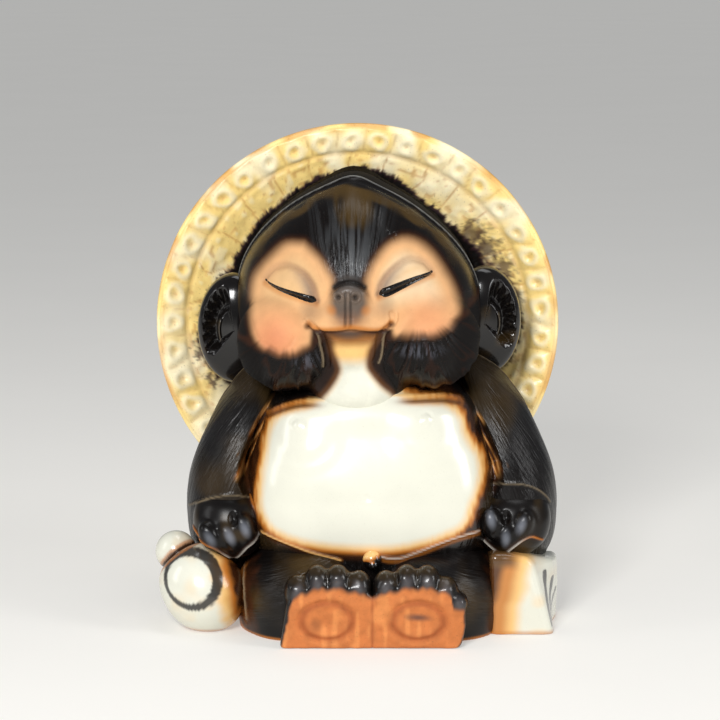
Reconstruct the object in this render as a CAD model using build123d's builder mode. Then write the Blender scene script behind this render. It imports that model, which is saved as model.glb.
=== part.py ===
from build123d import *
from math import cos, radians, sin, tan
import os

# A seated tanuki of hollow glazed clay, in millimetres
# Z is up, the figure looks along -Y and left is the side seen at the left from the front
# The origin lies on the ground under the middle of the hat

# Clay
wall = 5.5
limb_wall = 5.0

# Hat, a dished disc that stands upright behind the head
hat_radius = 115.0
hat_middle_height = 155.0
hat_rim_y = 38.0
hat_slope = 23.0
hat_crown_radius = 40.0
hat_thickness = 6.2
hat_rim_rounding = 2.8

# Body, level rings from the ground up: height, half width, front and back
body_x = 8.0
neck_height = 131.0
body_rings = (
    (0.0, 64.0, -52.0, 74.0),
    (22.0, 71.0, -60.0, 79.0),
    (48.0, 73.0, -64.0, 78.0),
    (78.0, 71.0, -64.0, 74.0),
    (106.0, 64.0, -56.0, 72.0),
    (neck_height, 50.0, -45.0, 70.0),
)
body_seam_y = 4.0
slab_thickness = 6.0
vent_diameter = 8.0
vent_y = 20.0

# Head, level rings from the neck up: height, half width, front and back
head_x = 1.0
head_rings = (
    (neck_height, 50.0, -45.0, 70.0),
    (148.0, 63.0, -55.0, 74.0),
    (168.0, 67.5, -59.0, 76.0),
    (188.0, 66.0, -59.0, 76.0),
    (205.0, 59.5, -55.0, 74.0),
    (220.0, 48.0, -47.0, 70.0),
    (234.0, 31.0, -33.0, 66.0),
    (243.0, 15.0, -17.0, 62.0),
    (247.0, 5.0, -6.0, 58.0),
)
head_seam_y = 6.0
head_cavity_top = 232.0

# Jowls, chin, muzzle and nose on the face: half width, half depth and half height
jowl_size = (29.0, 30.0, 23.0)
jowl_spread = 37.0
jowl_x = 5.0
jowl_y = -38.0
jowl_height = 151.0
chin_size = (18.0, 20.0, 22.0)
chin_y = -42.0
chin_height = 150.0
muzzle_size = (26.0, 24.0, 17.0)
muzzle_x = -4.0
muzzle_y = -44.0
muzzle_height = 172.0
nose_size = (9.5, 8.0, 8.0)
nose_y = -64.0
nose_height = 186.0

# Ears, half-moons with a pocket in the front
ear_half_width = 21.0
ear_half_height = 31.0
ear_pocket_half_width = 12.0
ear_pocket_half_height = 22.0
ear_pocket_depth = 12.0
ear_rounding = 6.5
ear_reach = 70.0
ear_root_reach = 54.0
ear_front_y = 4.0
ear_back_y = 32.0
ear_left_height = 157.0
ear_right_height = 161.0

# Arms, level rings: height, middle away from the body's middle, middle y, half width, half depth
arm_rings = (
    (140.0, 55.0, 2.0, 10.0, 14.0),
    (124.0, 63.0, -1.0, 18.0, 25.0),
    (104.0, 71.0, -6.0, 21.5, 31.0),
    (82.0, 77.0, -10.0, 24.0, 34.0),
    (60.0, 79.0, -12.0, 24.0, 34.0),
    (38.0, 78.0, -9.0, 21.0, 28.0),
    (22.0, 74.0, -6.0, 13.0, 18.0),
)
arm_cavity_bottom = 36.0
arm_cavity_top = 106.0

# Hands, level rings: height, middle away from the body's middle, middle y, half width, half depth
hand_rings = (
    (76.0, 78.0, -30.0, 12.0, 12.0),
    (69.0, 78.0, -33.0, 18.5, 17.0),
    (57.0, 78.0, -36.0, 20.5, 18.5),
    (46.0, 77.0, -38.0, 17.0, 15.5),
    (39.0, 75.5, -39.0, 10.0, 9.0),
)

# Legs, upright rings from the hip to the foot: y, middle away from the body's middle, half width, top
ankle_y = -72.0
leg_rings = (
    (-14.0, 37.0, 36.0, 54.0),
    (-36.0, 37.0, 36.0, 51.0),
    (-56.0, 34.0, 33.0, 46.0),
    (ankle_y, 28.0, 27.0, 41.0),
)
leg_middle_height = 18.0

# Feet, upright soles with a row of toes along the top
foot_spread = 24.6
foot_width = 46.0
sole_height = 33.0
sole_rounding = 8.0
sole_front_y = -88.0
sole_pad_radius = 12.5
sole_pad_groove = 2.4
sole_pad_depth = 1.2
sole_pad_height = 17.5
toe_count = 4
toe_radius = 6.4
toe_height = 33.5
toe_front_y = -89.0

# Ball between the legs
nub_radius = 5.2
nub_y = -64.0
nub_height = 42.0

# Flask at the left, turned about a leaning axis: distances along it from the middle of the bulb
flask_middle = (-85.0, -42.0, 21.5)
flask_axis = (-0.585, 0.425, 0.69)
flask_seam = 240.0
flask_radius = 22.5
flask_foot = 26.0
flask_waist = 23.0
flask_waist_radius = 7.5
flask_knob_radius = 9.4
flask_knob_length = 15.0

# Ledger at the right, a thick closed book that stands on its end
ledger_left_x = 72.0
ledger_right_x = 111.0
ledger_front_y = -60.0
ledger_back_y = -8.0
ledger_height = 45.0
ledger_bevel = 10.0
ledger_bevel_depth = 38.0
ledger_rounding = 3.5

# Tail: half width, half depth and half height
tail_size = (18.0, 17.0, 27.0)
tail_x = 27.0
tail_y = 70.0
tail_height = 26.0
tail_lean = 34.0

os.makedirs("parts", exist_ok=True)

body_mirror = Plane.YZ.offset(body_x)
far = 4 * hat_radius


def lump(size):
    """A soft lump of clay with three half sizes."""
    return scale(Sphere(1.0), by=size)


# Hat, and the space behind its front face that no other piece may enter
hat_axis = Axis((0, hat_rim_y, hat_middle_height), (0, 1, 0))
hat_plane = Plane(origin=(0, hat_rim_y, hat_middle_height), x_dir=(0, 0, 1), z_dir=(-1, 0, 0))
hat_cone_depth = (hat_radius - hat_crown_radius) * tan(radians(hat_slope))
hat_cap_radius = hat_crown_radius / sin(radians(hat_slope))
hat_dish_depth = hat_cone_depth + hat_cap_radius * (1 - cos(radians(hat_slope)))
hat_depth_through = hat_thickness / cos(radians(hat_slope))
hat_cone_back = hat_cone_depth + hat_depth_through
hat_dish_back = hat_dish_depth + hat_depth_through

with BuildPart() as hat:
    with BuildSketch(hat_plane) as hat_section:
        with BuildLine():
            front_line = Line((hat_radius, 0), (hat_crown_radius, hat_cone_depth))
            front_cap = TangentArc(front_line @ 1, (0, hat_dish_depth), tangent=front_line % 1)
            Line(front_cap @ 1, (0, hat_dish_back))
            back_line = Line((hat_radius, hat_depth_through), (hat_crown_radius, hat_cone_back))
            TangentArc(back_line @ 1, (0, hat_dish_back), tangent=back_line % 1)
            Line(front_line @ 0, back_line @ 0)
        make_face()
        fillet(hat_section.vertices().group_by(Axis.X)[-1], hat_rim_rounding)
    revolve(axis=hat_axis)

with BuildPart() as hat_space:
    with BuildSketch(hat_plane):
        with BuildLine():
            space_line = Line((hat_radius, 0), (hat_crown_radius, hat_cone_depth))
            space_cap = TangentArc(space_line @ 1, (0, hat_dish_depth), tangent=space_line % 1)
            Polyline(space_cap @ 1, (0, far), (hat_radius, far), (hat_radius, 0))
        make_face()
    revolve(axis=hat_axis)

with BuildPart() as hat_space_and_wall:
    with BuildSketch(hat_plane):
        with BuildLine():
            wall_line = Line((hat_radius + wall, -wall), (hat_crown_radius, hat_cone_depth - wall))
            wall_cap = TangentArc(wall_line @ 1, (0, hat_dish_depth - wall), tangent=wall_line % 1)
            Polyline(wall_cap @ 1, (0, far), (hat_radius + wall, far), (hat_radius + wall, -wall))
        make_face()
    revolve(axis=hat_axis)

# Body form, and the hollow inside it
with BuildPart() as body_form:
    for height, half_width, front, back in body_rings:
        with BuildSketch(Plane.XY.offset(height)):
            with Locations((body_x, (front + back) / 2)):
                Ellipse((back - front) / 2, half_width, rotation=90)
    loft()
    add(hat_space.part, mode=Mode.SUBTRACT)

with BuildPart() as body_hollow:
    for height, half_width, front, back in body_rings:
        with BuildSketch(Plane.XY.offset(height)):
            with Locations((body_x, (front + back) / 2)):
                Ellipse((back - front) / 2 - wall, half_width - wall, rotation=90)
    loft()
    add(hat_space_and_wall.part, mode=Mode.SUBTRACT)

# Head form with its jowls, chin, muzzle and nose, and the hollow inside it
jowl = lump(jowl_size)
chin = lump(chin_size)
muzzle = lump(muzzle_size)
nose = lump(nose_size)

with BuildPart() as skull_form:
    for height, half_width, front, back in head_rings:
        with BuildSketch(Plane.XY.offset(height)):
            with Locations((head_x, (front + back) / 2)):
                Ellipse((back - front) / 2, half_width, rotation=90)
    loft()

with BuildPart() as head_form:
    add(skull_form.part)
    with Locations((jowl_x, jowl_y, jowl_height)):
        with GridLocations(2 * jowl_spread, 2 * jowl_spread, 2, 1):
            add(jowl)
    with Locations((muzzle_x, chin_y, chin_height)):
        add(chin)
    with Locations((muzzle_x, muzzle_y, muzzle_height)):
        add(muzzle)
    with Locations((muzzle_x, nose_y, nose_height)):
        add(nose)
    add(hat_space.part, mode=Mode.SUBTRACT)
    add(body_form.part, mode=Mode.SUBTRACT)

with BuildPart() as head_hollow:
    for height, half_width, front, back in head_rings:
        if height < head_cavity_top:
            with BuildSketch(Plane.XY.offset(height)):
                with Locations((head_x, (front + back) / 2)):
                    Ellipse((back - front) / 2 - wall, half_width - wall, rotation=90)
    loft()
    add(hat_space_and_wall.part, mode=Mode.SUBTRACT)

# Body shells, parted at the seam of the two moulds
with BuildPart() as body_front:
    add(body_form.part)
    add(body_hollow.part, mode=Mode.SUBTRACT)
    split(bisect_by=Plane.XZ.offset(-body_seam_y), keep=Keep.TOP)

with BuildPart() as body_back:
    add(body_form.part)
    add(body_hollow.part, mode=Mode.SUBTRACT)
    split(bisect_by=Plane.XZ.offset(-body_seam_y), keep=Keep.BOTTOM)

# Base slab, which closes the bottom of the hollow and has the kiln vent
with BuildPart() as base_slab:
    add(body_hollow.part)
    split(bisect_by=Plane.XY.offset(slab_thickness), keep=Keep.BOTTOM)
    with Locations((body_x, vent_y, slab_thickness)):
        Hole(vent_diameter / 2)

# Head shells
with BuildPart() as face_shell:
    add(head_form.part)
    add(head_hollow.part, mode=Mode.SUBTRACT)
    split(bisect_by=Plane.XZ.offset(-head_seam_y), keep=Keep.TOP)

with BuildPart() as head_back:
    add(head_form.part)
    add(head_hollow.part, mode=Mode.SUBTRACT)
    split(bisect_by=Plane.XZ.offset(-head_seam_y), keep=Keep.BOTTOM)

# Legs, hollow and flat underneath
with BuildPart() as leg_left_form:
    for ring_y, away, half_width, top in leg_rings:
        with BuildSketch(Plane.XZ.offset(-ring_y)):
            with Locations((body_x - away, leg_middle_height)):
                Ellipse(half_width, top - leg_middle_height)
    loft()
    split(bisect_by=Plane.XY, keep=Keep.TOP)

with BuildPart() as leg_left_hollow:
    for ring_y, away, half_width, top in leg_rings:
        with BuildSketch(Plane.XZ.offset(-ring_y)):
            with Locations((body_x - away, leg_middle_height)):
                Ellipse(half_width - limb_wall, top - leg_middle_height - limb_wall)
    loft()
    split(bisect_by=Plane.XY.offset(limb_wall), keep=Keep.TOP)

with BuildPart() as leg_left:
    add(leg_left_form.part)
    add(leg_left_hollow.part, mode=Mode.SUBTRACT)
    add(body_form.part, mode=Mode.SUBTRACT)

with BuildPart() as leg_right_form:
    mirror(leg_left_form.part, about=body_mirror)

with BuildPart() as leg_right:
    mirror(leg_left.part, about=body_mirror)

# Feet, upright soles that close the legs, with a ring pressed into each sole
toe_pitch = (foot_width - 2 * toe_radius) / (toe_count - 1)
toe = lump((toe_radius, (ankle_y - toe_front_y) / 2, toe_radius))

with BuildPart() as foot_left:
    with BuildSketch(Plane.XZ.offset(-ankle_y)):
        with Locations((body_x - foot_spread, sole_height / 2)):
            RectangleRounded(foot_width, sole_height, sole_rounding)
    extrude(amount=ankle_y - sole_front_y)
    with Locations((body_x - foot_spread, (ankle_y + toe_front_y) / 2, toe_height)):
        with GridLocations(toe_pitch, toe_pitch, toe_count, 1):
            add(toe)
    with BuildSketch(Plane.XZ.offset(-sole_front_y)):
        with Locations((body_x - foot_spread, sole_pad_height)):
            Circle(sole_pad_radius)
            Circle(sole_pad_radius - sole_pad_groove, mode=Mode.SUBTRACT)
    extrude(amount=-sole_pad_depth, mode=Mode.SUBTRACT)

with BuildPart() as foot_right:
    mirror(foot_left.part, about=body_mirror)

# Ball under the belly, between the legs, with its poles to the front and back
with BuildPart() as belly_nub:
    with Locations((body_x, nub_y, nub_height)):
        Sphere(nub_radius, rotation=(90, 0, 0))
    add(body_form.part, mode=Mode.SUBTRACT)

# Arms, hollow towards the body
with BuildPart() as arm_left_form:
    for height, away, middle_y, half_width, half_depth in arm_rings:
        with BuildSketch(Plane.XY.offset(height)):
            with Locations((body_x - away, middle_y)):
                Ellipse(half_width, half_depth)
    loft()

with BuildPart() as arm_right_form:
    mirror(arm_left_form.part, about=body_mirror)

with BuildPart() as arm_left_hollow:
    for height, away, middle_y, half_width, half_depth in arm_rings:
        if arm_cavity_bottom <= height <= arm_cavity_top:
            with BuildSketch(Plane.XY.offset(height)):
                with Locations((body_x - away, middle_y)):
                    Ellipse(half_width - limb_wall, half_depth - limb_wall)
    loft()

with BuildPart() as arm_left:
    add(arm_left_form.part)
    add(arm_left_hollow.part, mode=Mode.SUBTRACT)
    for neighbour in (body_form, head_form, leg_left_form):
        add(neighbour.part, mode=Mode.SUBTRACT)

with BuildPart() as arm_right:
    mirror(arm_left_form.part, about=body_mirror)
    mirror(arm_left_hollow.part, about=body_mirror, mode=Mode.SUBTRACT)
    for neighbour in (body_form, head_form, leg_right_form):
        add(neighbour.part, mode=Mode.SUBTRACT)

# Hands
with BuildPart() as hand_left_form:
    for height, away, middle_y, half_width, half_depth in hand_rings:
        with BuildSketch(Plane.XY.offset(height)):
            with Locations((body_x - away, middle_y)):
                Ellipse(half_depth, half_width, rotation=90)
    loft()

with BuildPart() as hand_right_form:
    mirror(hand_left_form.part, about=body_mirror)

with BuildPart() as hand_left:
    add(hand_left_form.part)
    for neighbour in (body_form, leg_left_form, arm_left_form):
        add(neighbour.part, mode=Mode.SUBTRACT)

with BuildPart() as hand_right:
    add(hand_right_form.part)
    for neighbour in (body_form, leg_right_form, arm_right_form):
        add(neighbour.part, mode=Mode.SUBTRACT)

# Ears
with BuildPart() as ear_left:
    with BuildSketch(Plane.XZ.offset(-ear_front_y)):
        with Locations((head_x - ear_reach, ear_left_height)):
            Ellipse(ear_half_width, ear_half_height)
    extrude(amount=ear_front_y - ear_back_y)
    fillet(ear_left.faces().sort_by(Axis.Y)[0].edges(), ear_rounding)
    with BuildSketch(Plane.XZ.offset(-ear_front_y)):
        with Locations((head_x - ear_reach, ear_left_height)):
            Ellipse(ear_pocket_half_width, ear_pocket_half_height)
    extrude(amount=-ear_pocket_depth, mode=Mode.SUBTRACT)
    split(bisect_by=Plane.YZ.offset(head_x - ear_root_reach), keep=Keep.BOTTOM)
    for neighbour in (skull_form, arm_left):
        add(neighbour.part, mode=Mode.SUBTRACT)

with BuildPart() as ear_right:
    with BuildSketch(Plane.XZ.offset(-ear_front_y)):
        with Locations((head_x + ear_reach, ear_right_height)):
            Ellipse(ear_half_width, ear_half_height, rotation=180)
    extrude(amount=ear_front_y - ear_back_y)
    fillet(ear_right.faces().sort_by(Axis.Y)[0].edges(), ear_rounding)
    with BuildSketch(Plane.XZ.offset(-ear_front_y)):
        with Locations((head_x + ear_reach, ear_right_height)):
            Ellipse(ear_pocket_half_width, ear_pocket_half_height, rotation=180)
    extrude(amount=-ear_pocket_depth, mode=Mode.SUBTRACT)
    split(bisect_by=Plane.YZ.offset(head_x + ear_root_reach), keep=Keep.TOP)
    for neighbour in (skull_form, arm_right):
        add(neighbour.part, mode=Mode.SUBTRACT)

# Flask, a bulb and a knob-shaped neck that meet at the waist
flask_level = Plane(origin=flask_middle, z_dir=flask_axis)
flask_base = Plane(flask_level.location * Location((0, 0, 0), (0, 0, flask_seam)))
flask_side = Plane(origin=flask_middle, x_dir=flask_base.x_dir, z_dir=-flask_base.y_dir)
flask_turn = Axis(flask_middle, flask_axis)

with BuildPart() as flask_body:
    with BuildSketch(flask_side):
        with BuildLine():
            EllipticalCenterArc((0, 0), flask_radius, flask_foot, start_angle=-90, arc_size=90)
            Spline((flask_radius, 0), (flask_waist_radius, flask_waist), tangents=((0, 1), (-1, 0.5)))
            Polyline((flask_waist_radius, flask_waist), (0, flask_waist), (0, -flask_foot))
        make_face()
    revolve(axis=flask_turn)
    split(bisect_by=Plane.XY, keep=Keep.TOP)
    for neighbour in (body_form, leg_left_form, arm_left_form, hand_left_form):
        add(neighbour.part, mode=Mode.SUBTRACT)

with BuildPart() as flask_neck:
    with BuildSketch(flask_side):
        with BuildLine():
            Spline(
                (flask_waist_radius, flask_waist),
                (flask_knob_radius, flask_waist + flask_knob_length / 2),
                (0, flask_waist + flask_knob_length),
                tangents=((1, 0.6), (-1, 0)),
            )
            Polyline((0, flask_waist + flask_knob_length), (0, flask_waist), (flask_waist_radius, flask_waist))
        make_face()
    revolve(axis=flask_turn)
    for neighbour in (body_form, arm_left_form, hand_left_form):
        add(neighbour.part, mode=Mode.SUBTRACT)

# Ledger
with BuildPart() as ledger:
    with BuildSketch():
        with BuildLine():
            Polyline(
                (ledger_left_x, ledger_back_y),
                (ledger_left_x, ledger_front_y),
                (ledger_right_x - ledger_bevel, ledger_front_y),
                (ledger_right_x, ledger_front_y + ledger_bevel_depth),
                (ledger_right_x, ledger_back_y),
                close=True,
            )
        make_face()
    extrude(amount=ledger_height)
    top_edges = ledger.faces().sort_by(Axis.Z)[-1].edges()
    fillet(ledger.edges().filter_by(Axis.Z) + top_edges, ledger_rounding)
    for neighbour in (body_form, leg_right_form, arm_right_form, hand_right_form):
        add(neighbour.part, mode=Mode.SUBTRACT)

# Tail, pressed on the rump under the hat
tail_lump = lump(tail_size)

with BuildPart() as tail:
    with Locations(Location((tail_x, tail_y, tail_height), (0, tail_lean, 0))):
        add(tail_lump)
    split(bisect_by=Plane.XY, keep=Keep.TOP)
    for neighbour in (body_form, hat_space):
        add(neighbour.part, mode=Mode.SUBTRACT)

for piece, piece_name in (
    (hat, "hat"),
    (body_front, "body_front"),
    (body_back, "body_back"),
    (base_slab, "base_slab"),
    (face_shell, "face_shell"),
    (head_back, "head_back"),
    (ear_left, "ear_left"),
    (ear_right, "ear_right"),
    (arm_left, "arm_left"),
    (arm_right, "arm_right"),
    (hand_left, "hand_left"),
    (hand_right, "hand_right"),
    (leg_left, "leg_left"),
    (leg_right, "leg_right"),
    (foot_left, "foot_left"),
    (foot_right, "foot_right"),
    (belly_nub, "belly_nub"),
    (flask_body, "flask_body"),
    (flask_neck, "flask_neck"),
    (ledger, "ledger"),
    (tail, "tail"),
):
    piece.part.label = piece_name
    export_step(piece.part, f"parts/{piece_name}.step")
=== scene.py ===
import math

import bmesh
import bpy
import numpy as np
from mathutils import Euler, Matrix, Vector
from mathutils.bvhtree import BVHTree


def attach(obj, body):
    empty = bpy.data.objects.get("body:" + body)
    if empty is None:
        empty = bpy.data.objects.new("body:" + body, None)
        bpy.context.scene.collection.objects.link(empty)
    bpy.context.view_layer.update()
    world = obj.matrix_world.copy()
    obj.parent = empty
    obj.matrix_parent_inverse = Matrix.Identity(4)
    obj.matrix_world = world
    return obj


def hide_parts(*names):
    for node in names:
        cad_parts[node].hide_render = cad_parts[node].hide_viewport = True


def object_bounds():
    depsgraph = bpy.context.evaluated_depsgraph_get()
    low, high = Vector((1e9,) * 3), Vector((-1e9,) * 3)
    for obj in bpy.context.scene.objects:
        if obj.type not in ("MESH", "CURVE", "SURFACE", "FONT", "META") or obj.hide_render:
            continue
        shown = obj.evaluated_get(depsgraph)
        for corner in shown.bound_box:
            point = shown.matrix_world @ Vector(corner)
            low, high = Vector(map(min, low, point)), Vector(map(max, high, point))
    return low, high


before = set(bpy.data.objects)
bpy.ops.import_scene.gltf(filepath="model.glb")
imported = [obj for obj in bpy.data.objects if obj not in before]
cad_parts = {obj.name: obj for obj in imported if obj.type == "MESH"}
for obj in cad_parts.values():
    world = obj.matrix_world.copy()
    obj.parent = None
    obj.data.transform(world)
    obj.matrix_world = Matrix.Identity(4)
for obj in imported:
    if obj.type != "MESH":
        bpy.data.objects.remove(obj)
cad_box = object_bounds()

# The seated tanuki in glazed clay. Tables and strokes are in millimetres, meshes in metres.
# Z is up, the figure looks along -Y and left is the viewer's left.
# In each section p holds the places of a piece's vertices, n their normals and rise how far they move out.

# Body
# Hollow clay pressed in two half moulds, luted at the sides, with the belly bulging in front.
# The belly is glazed cream; the black glaze round it thins to brown and amber at the edge.
MM = 0.001
body_x = 8
body_rings = (
    (0, 64, -52, 74),
    (22, 71, -60, 79),
    (48, 73, -64, 78),
    (78, 71, -64, 74),
    (106, 64, -56, 72),
    (131, 50, -45, 70),
    (139, 36, -34, 66),
)


def follow(stations, table, at):
    """Rows of a table, carried smoothly from station to station."""
    stations = np.asarray(stations, float)
    table = np.asarray(table, float)
    slope = np.gradient(table, stations, axis=0)
    i = np.clip(np.searchsorted(stations, at) - 1, 0, len(stations) - 2)
    gap = (stations[i + 1] - stations[i])[:, None]
    t = (at - stations[i])[:, None] / gap
    rise = 3 * t**2 - 2 * t**3
    lead = t * (1 - t) ** 2 * slope[i] - t**2 * (1 - t) * slope[i + 1]
    return table[i] * (1 - rise) + table[i + 1] * rise + gap * lead


def loft(rings, rows, around):
    """A closed skin through level rings: height, middle x, middle y, half width and half depth."""
    skin = bmesh.new()
    bmesh.ops.create_cone(skin, cap_ends=True, segments=around, radius1=1, radius2=1, depth=1)
    uprights = [e for e in skin.edges if abs(e.verts[0].co.z - e.verts[1].co.z) > 0.5]
    bmesh.ops.subdivide_edges(skin, edges=uprights, cuts=rows - 1)
    rings = np.array(sorted(rings), float)
    unit = np.array([v.co for v in skin.verts])
    height = rings[0, 0] + (unit[:, 2] + 0.5) * (rings[-1, 0] - rings[0, 0])
    form = follow(rings[:, 0], rings[:, 1:], height)
    for v, (x, y, half_width, half_depth), z in zip(skin.verts, form, height):
        v.co = (x + half_width * v.co.x, y + half_depth * v.co.y, z)
    return skin


def make_piece(name, clay):
    """An object from a bmesh in millimetres, its place kept in the mesh."""
    bmesh.ops.scale(clay, vec=(MM, MM, MM), verts=clay.verts)
    bmesh.ops.recalc_face_normals(clay, faces=clay.faces)
    for face in clay.faces:
        face.smooth = True
    mesh = bpy.data.meshes.new("glazed_" + name)
    clay.to_mesh(mesh)
    clay.free()
    piece = bpy.data.objects.new("glazed_" + name, mesh)
    bpy.context.scene.collection.objects.link(piece)
    return piece


def places(piece):
    """The vertices of a piece in millimetres."""
    flat = np.empty(3 * len(piece.data.vertices), np.float32)
    piece.data.vertices.foreach_get("co", flat)
    return flat.reshape(-1, 3).astype(float) / MM


def outward(piece):
    """The normals of a piece's vertices."""
    flat = np.empty(3 * len(piece.data.vertices), np.float32)
    piece.data.vertex_normals.foreach_get("vector", flat)
    return flat.reshape(-1, 3).astype(float)


def put(piece, p):
    """Moves the vertices of a piece to places in millimetres."""
    piece.data.vertices.foreach_set("co", (p * MM).astype(np.float32).ravel())
    piece.data.update()


def soft(low, high, x):
    """0 below low, 1 above high and a soft step between."""
    t = np.clip((x - low) / (high - low), 0, 1)
    return t * t * (3 - 2 * t)


def ripple(u, v, seed):
    """Smooth noise between -1 and 1 over two running coordinates."""
    iu, iv = np.floor(u).astype(np.int64), np.floor(v).astype(np.int64)
    fu, fv = u - iu, v - iv
    fu, fv = fu * fu * (3 - 2 * fu), fv * fv * (3 - 2 * fv)

    def knot(du, dv):
        n = (iu + du) * 374761393 + (iv + dv) * 668265263 + seed * 144665
        n = (n ^ (n >> 13)) * 1274126177
        return ((n ^ (n >> 16)) & 0xFFFF) / 32767.5 - 1

    low = knot(0, 0) * (1 - fu) + knot(1, 0) * fu
    high = knot(0, 1) * (1 - fu) + knot(1, 1) * fu
    return low * (1 - fv) + high * fv


def curve(points, steps=5):
    """A smooth line through points drawn on the front, as x and z."""
    points = np.asarray(points, float)
    at = np.linspace(0, len(points) - 1, steps * (len(points) - 1) + 1)
    return follow(np.arange(len(points)), points, at)


def away(p, line, reach=25.0):
    """How far each place lies from a line drawn on the front, counted up to a reach."""
    flat = p[:, [0, 2]]
    near = np.all((flat > line.min(0) - reach) & (flat < line.max(0) + reach), axis=1)
    flat = flat[near]
    best = np.full(len(flat), reach)
    for start, end in zip(line[:-1], line[1:]):
        run = end - start
        t = np.clip((flat - start) @ run / max(run @ run, 1e-9), 0, 1)
        best = np.minimum(best, np.hypot(*(flat - start - t[:, None] * run).T))
    distance = np.full(len(p), reach)
    distance[near] = best
    return distance


def within(p, outline):
    """Millimetres inside a closed outline drawn on the front, negative outside it."""
    line = curve(list(outline) + [outline[0]], 3)
    inside = np.zeros(len(p), bool)
    for (x0, z0), (x1, z1) in zip(line[:-1], line[1:]):
        if z0 != z1:
            cross = (p[:, 2] > z0) != (p[:, 2] > z1)
            inside ^= cross & (p[:, 0] < x0 + (p[:, 2] - z0) / (z1 - z0) * (x1 - x0))
    return np.where(inside, 1, -1) * away(p, line)


def from_spot(p, x, z):
    """How far each place lies from a spot on the front."""
    return np.hypot(p[:, 0] - x, p[:, 2] - z)


def bump(distance, reach):
    """A rounded rise, 1 on the line and 0 at its reach."""
    return np.clip(1 - (distance / reach) ** 2, 0, 1) ** 2


def tint(r, g, b):
    """A screen colour as linear light."""
    c = np.array((r, g, b)) / 255
    return np.where(c <= 0.04045, c / 12.92, ((c + 0.055) / 1.055) ** 2.4)


BLACK = tint(15, 12, 11)
BROWN = tint(58, 30, 14)
AMBER = tint(188, 112, 40)
HONEY = tint(236, 190, 120)
CREAM = tint(221, 220, 205)
OLIVE = tint(72, 54, 24)
# Lighter colour for ridges, partly the glaze breaking thin and partly painted highlight.
EDGE_BREAK_AND_GLINT = tint(150, 132, 104)


def spray(glaze, colour, mask):
    """Lays a colour over the glaze where a mask between 0 and 1 lets it."""
    glaze += (colour - glaze) * np.clip(mask, 0, 1)[:, None]


def keep_paint(piece, glaze, matt=None, comb=None):
    """Keeps the sprayed glaze, its mattness and the comb's run on the piece's vertices."""
    n = len(piece.data.vertices)
    paint = piece.data.attributes.new("glaze", "FLOAT_COLOR", "POINT")
    paint.data.foreach_set("color", np.column_stack([glaze, np.ones(n)]).astype(np.float32).ravel())
    dry = piece.data.attributes.new("matt", "FLOAT", "POINT")
    dry.data.foreach_set("value", (np.zeros(n) if matt is None else matt).astype(np.float32))
    hair = piece.data.attributes.new("comb", "FLOAT_VECTOR", "POINT")
    run = np.zeros((n, 3)) if comb is None else comb
    hair.data.foreach_set("vector", run.astype(np.float32).ravel())


def hair_ridges(across, along, pitch, seed):
    """Combed strands between 0 and 1, thin across and long along."""
    wander = 0.5 * ripple(along / (5 * pitch), across / (6 * pitch), seed + 1)
    return 1 - np.abs(ripple(across / pitch + wander, along / (9 * pitch), seed))


def new_group(name, inputs, outputs):
    """An empty shader group with named sockets."""
    group = bpy.data.node_groups.new(name, "ShaderNodeTree")
    for socket, kind, value in inputs:
        group.interface.new_socket(socket, in_out="INPUT", socket_type=kind).default_value = value
    for socket, kind in outputs:
        group.interface.new_socket(socket, in_out="OUTPUT", socket_type=kind)
    return group


def add_node(tree, kind, settings=(), **inputs):
    """A shader node with its settings, and its inputs given as values or as other sockets."""
    node = tree.nodes.new(kind)
    for key, value in settings:
        setattr(node, key, value)
    for key, value in inputs.items():
        socket = node.inputs[int(key[1:])] if key[0] == "i" and key[1:].isdigit() else node.inputs[key]
        if isinstance(value, bpy.types.NodeSocket):
            tree.links.new(value, socket)
        else:
            socket.default_value = value
    return node


def glaze_mottle():
    """Kiln mottling: the glaze runs a little darker and lighter, with tiny specks."""
    group = new_group(
        "glaze_mottle",
        (("Colour", "NodeSocketColor", (0.5, 0.5, 0.5, 1)), ("Cloud", "NodeSocketFloat", 0.2),
         ("Specks", "NodeSocketFloat", 0.0), ("Scale", "NodeSocketFloat", 60.0)),
        (("Colour", "NodeSocketColor"), ("Cloud", "NodeSocketFloat")),
    )
    take = group.nodes.new("NodeGroupInput")
    give = group.nodes.new("NodeGroupOutput")
    where = add_node(group, "ShaderNodeTexCoord").outputs["Object"]
    cloud = add_node(group, "ShaderNodeTexNoise", Vector=where, Scale=take.outputs["Scale"], Detail=4.0)
    swing = add_node(group, "ShaderNodeMapRange", Value=cloud.outputs["Fac"],
                     **{"From Min": 0.3, "From Max": 0.7, "To Min": -1.0, "To Max": 1.0})
    gain = add_node(group, "ShaderNodeMath", [("operation", "MULTIPLY_ADD")],
                    i0=swing.outputs["Result"], i1=take.outputs["Cloud"], i2=1.0)
    shaded = add_node(group, "ShaderNodeVectorMath", [("operation", "SCALE")],
                      i0=take.outputs["Colour"], Scale=gain.outputs["Value"])
    grains = add_node(group, "ShaderNodeTexNoise", Vector=where, Scale=1400.0, Detail=2.0)
    pick = add_node(group, "ShaderNodeMapRange", Value=grains.outputs["Fac"],
                    **{"From Min": 0.64, "From Max": 0.74})
    dose = add_node(group, "ShaderNodeMath", [("operation", "MULTIPLY")],
                    i0=pick.outputs["Result"], i1=take.outputs["Specks"])
    fleck = add_node(group, "ShaderNodeMix", [("data_type", "RGBA")], i0=dose.outputs["Value"],
                     i6=shaded.outputs["Vector"], i7=(0.12, 0.05, 0.015, 1))
    group.links.new(fleck.outputs[2], give.inputs["Colour"])
    group.links.new(cloud.outputs["Fac"], give.inputs["Cloud"])
    return group


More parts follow.
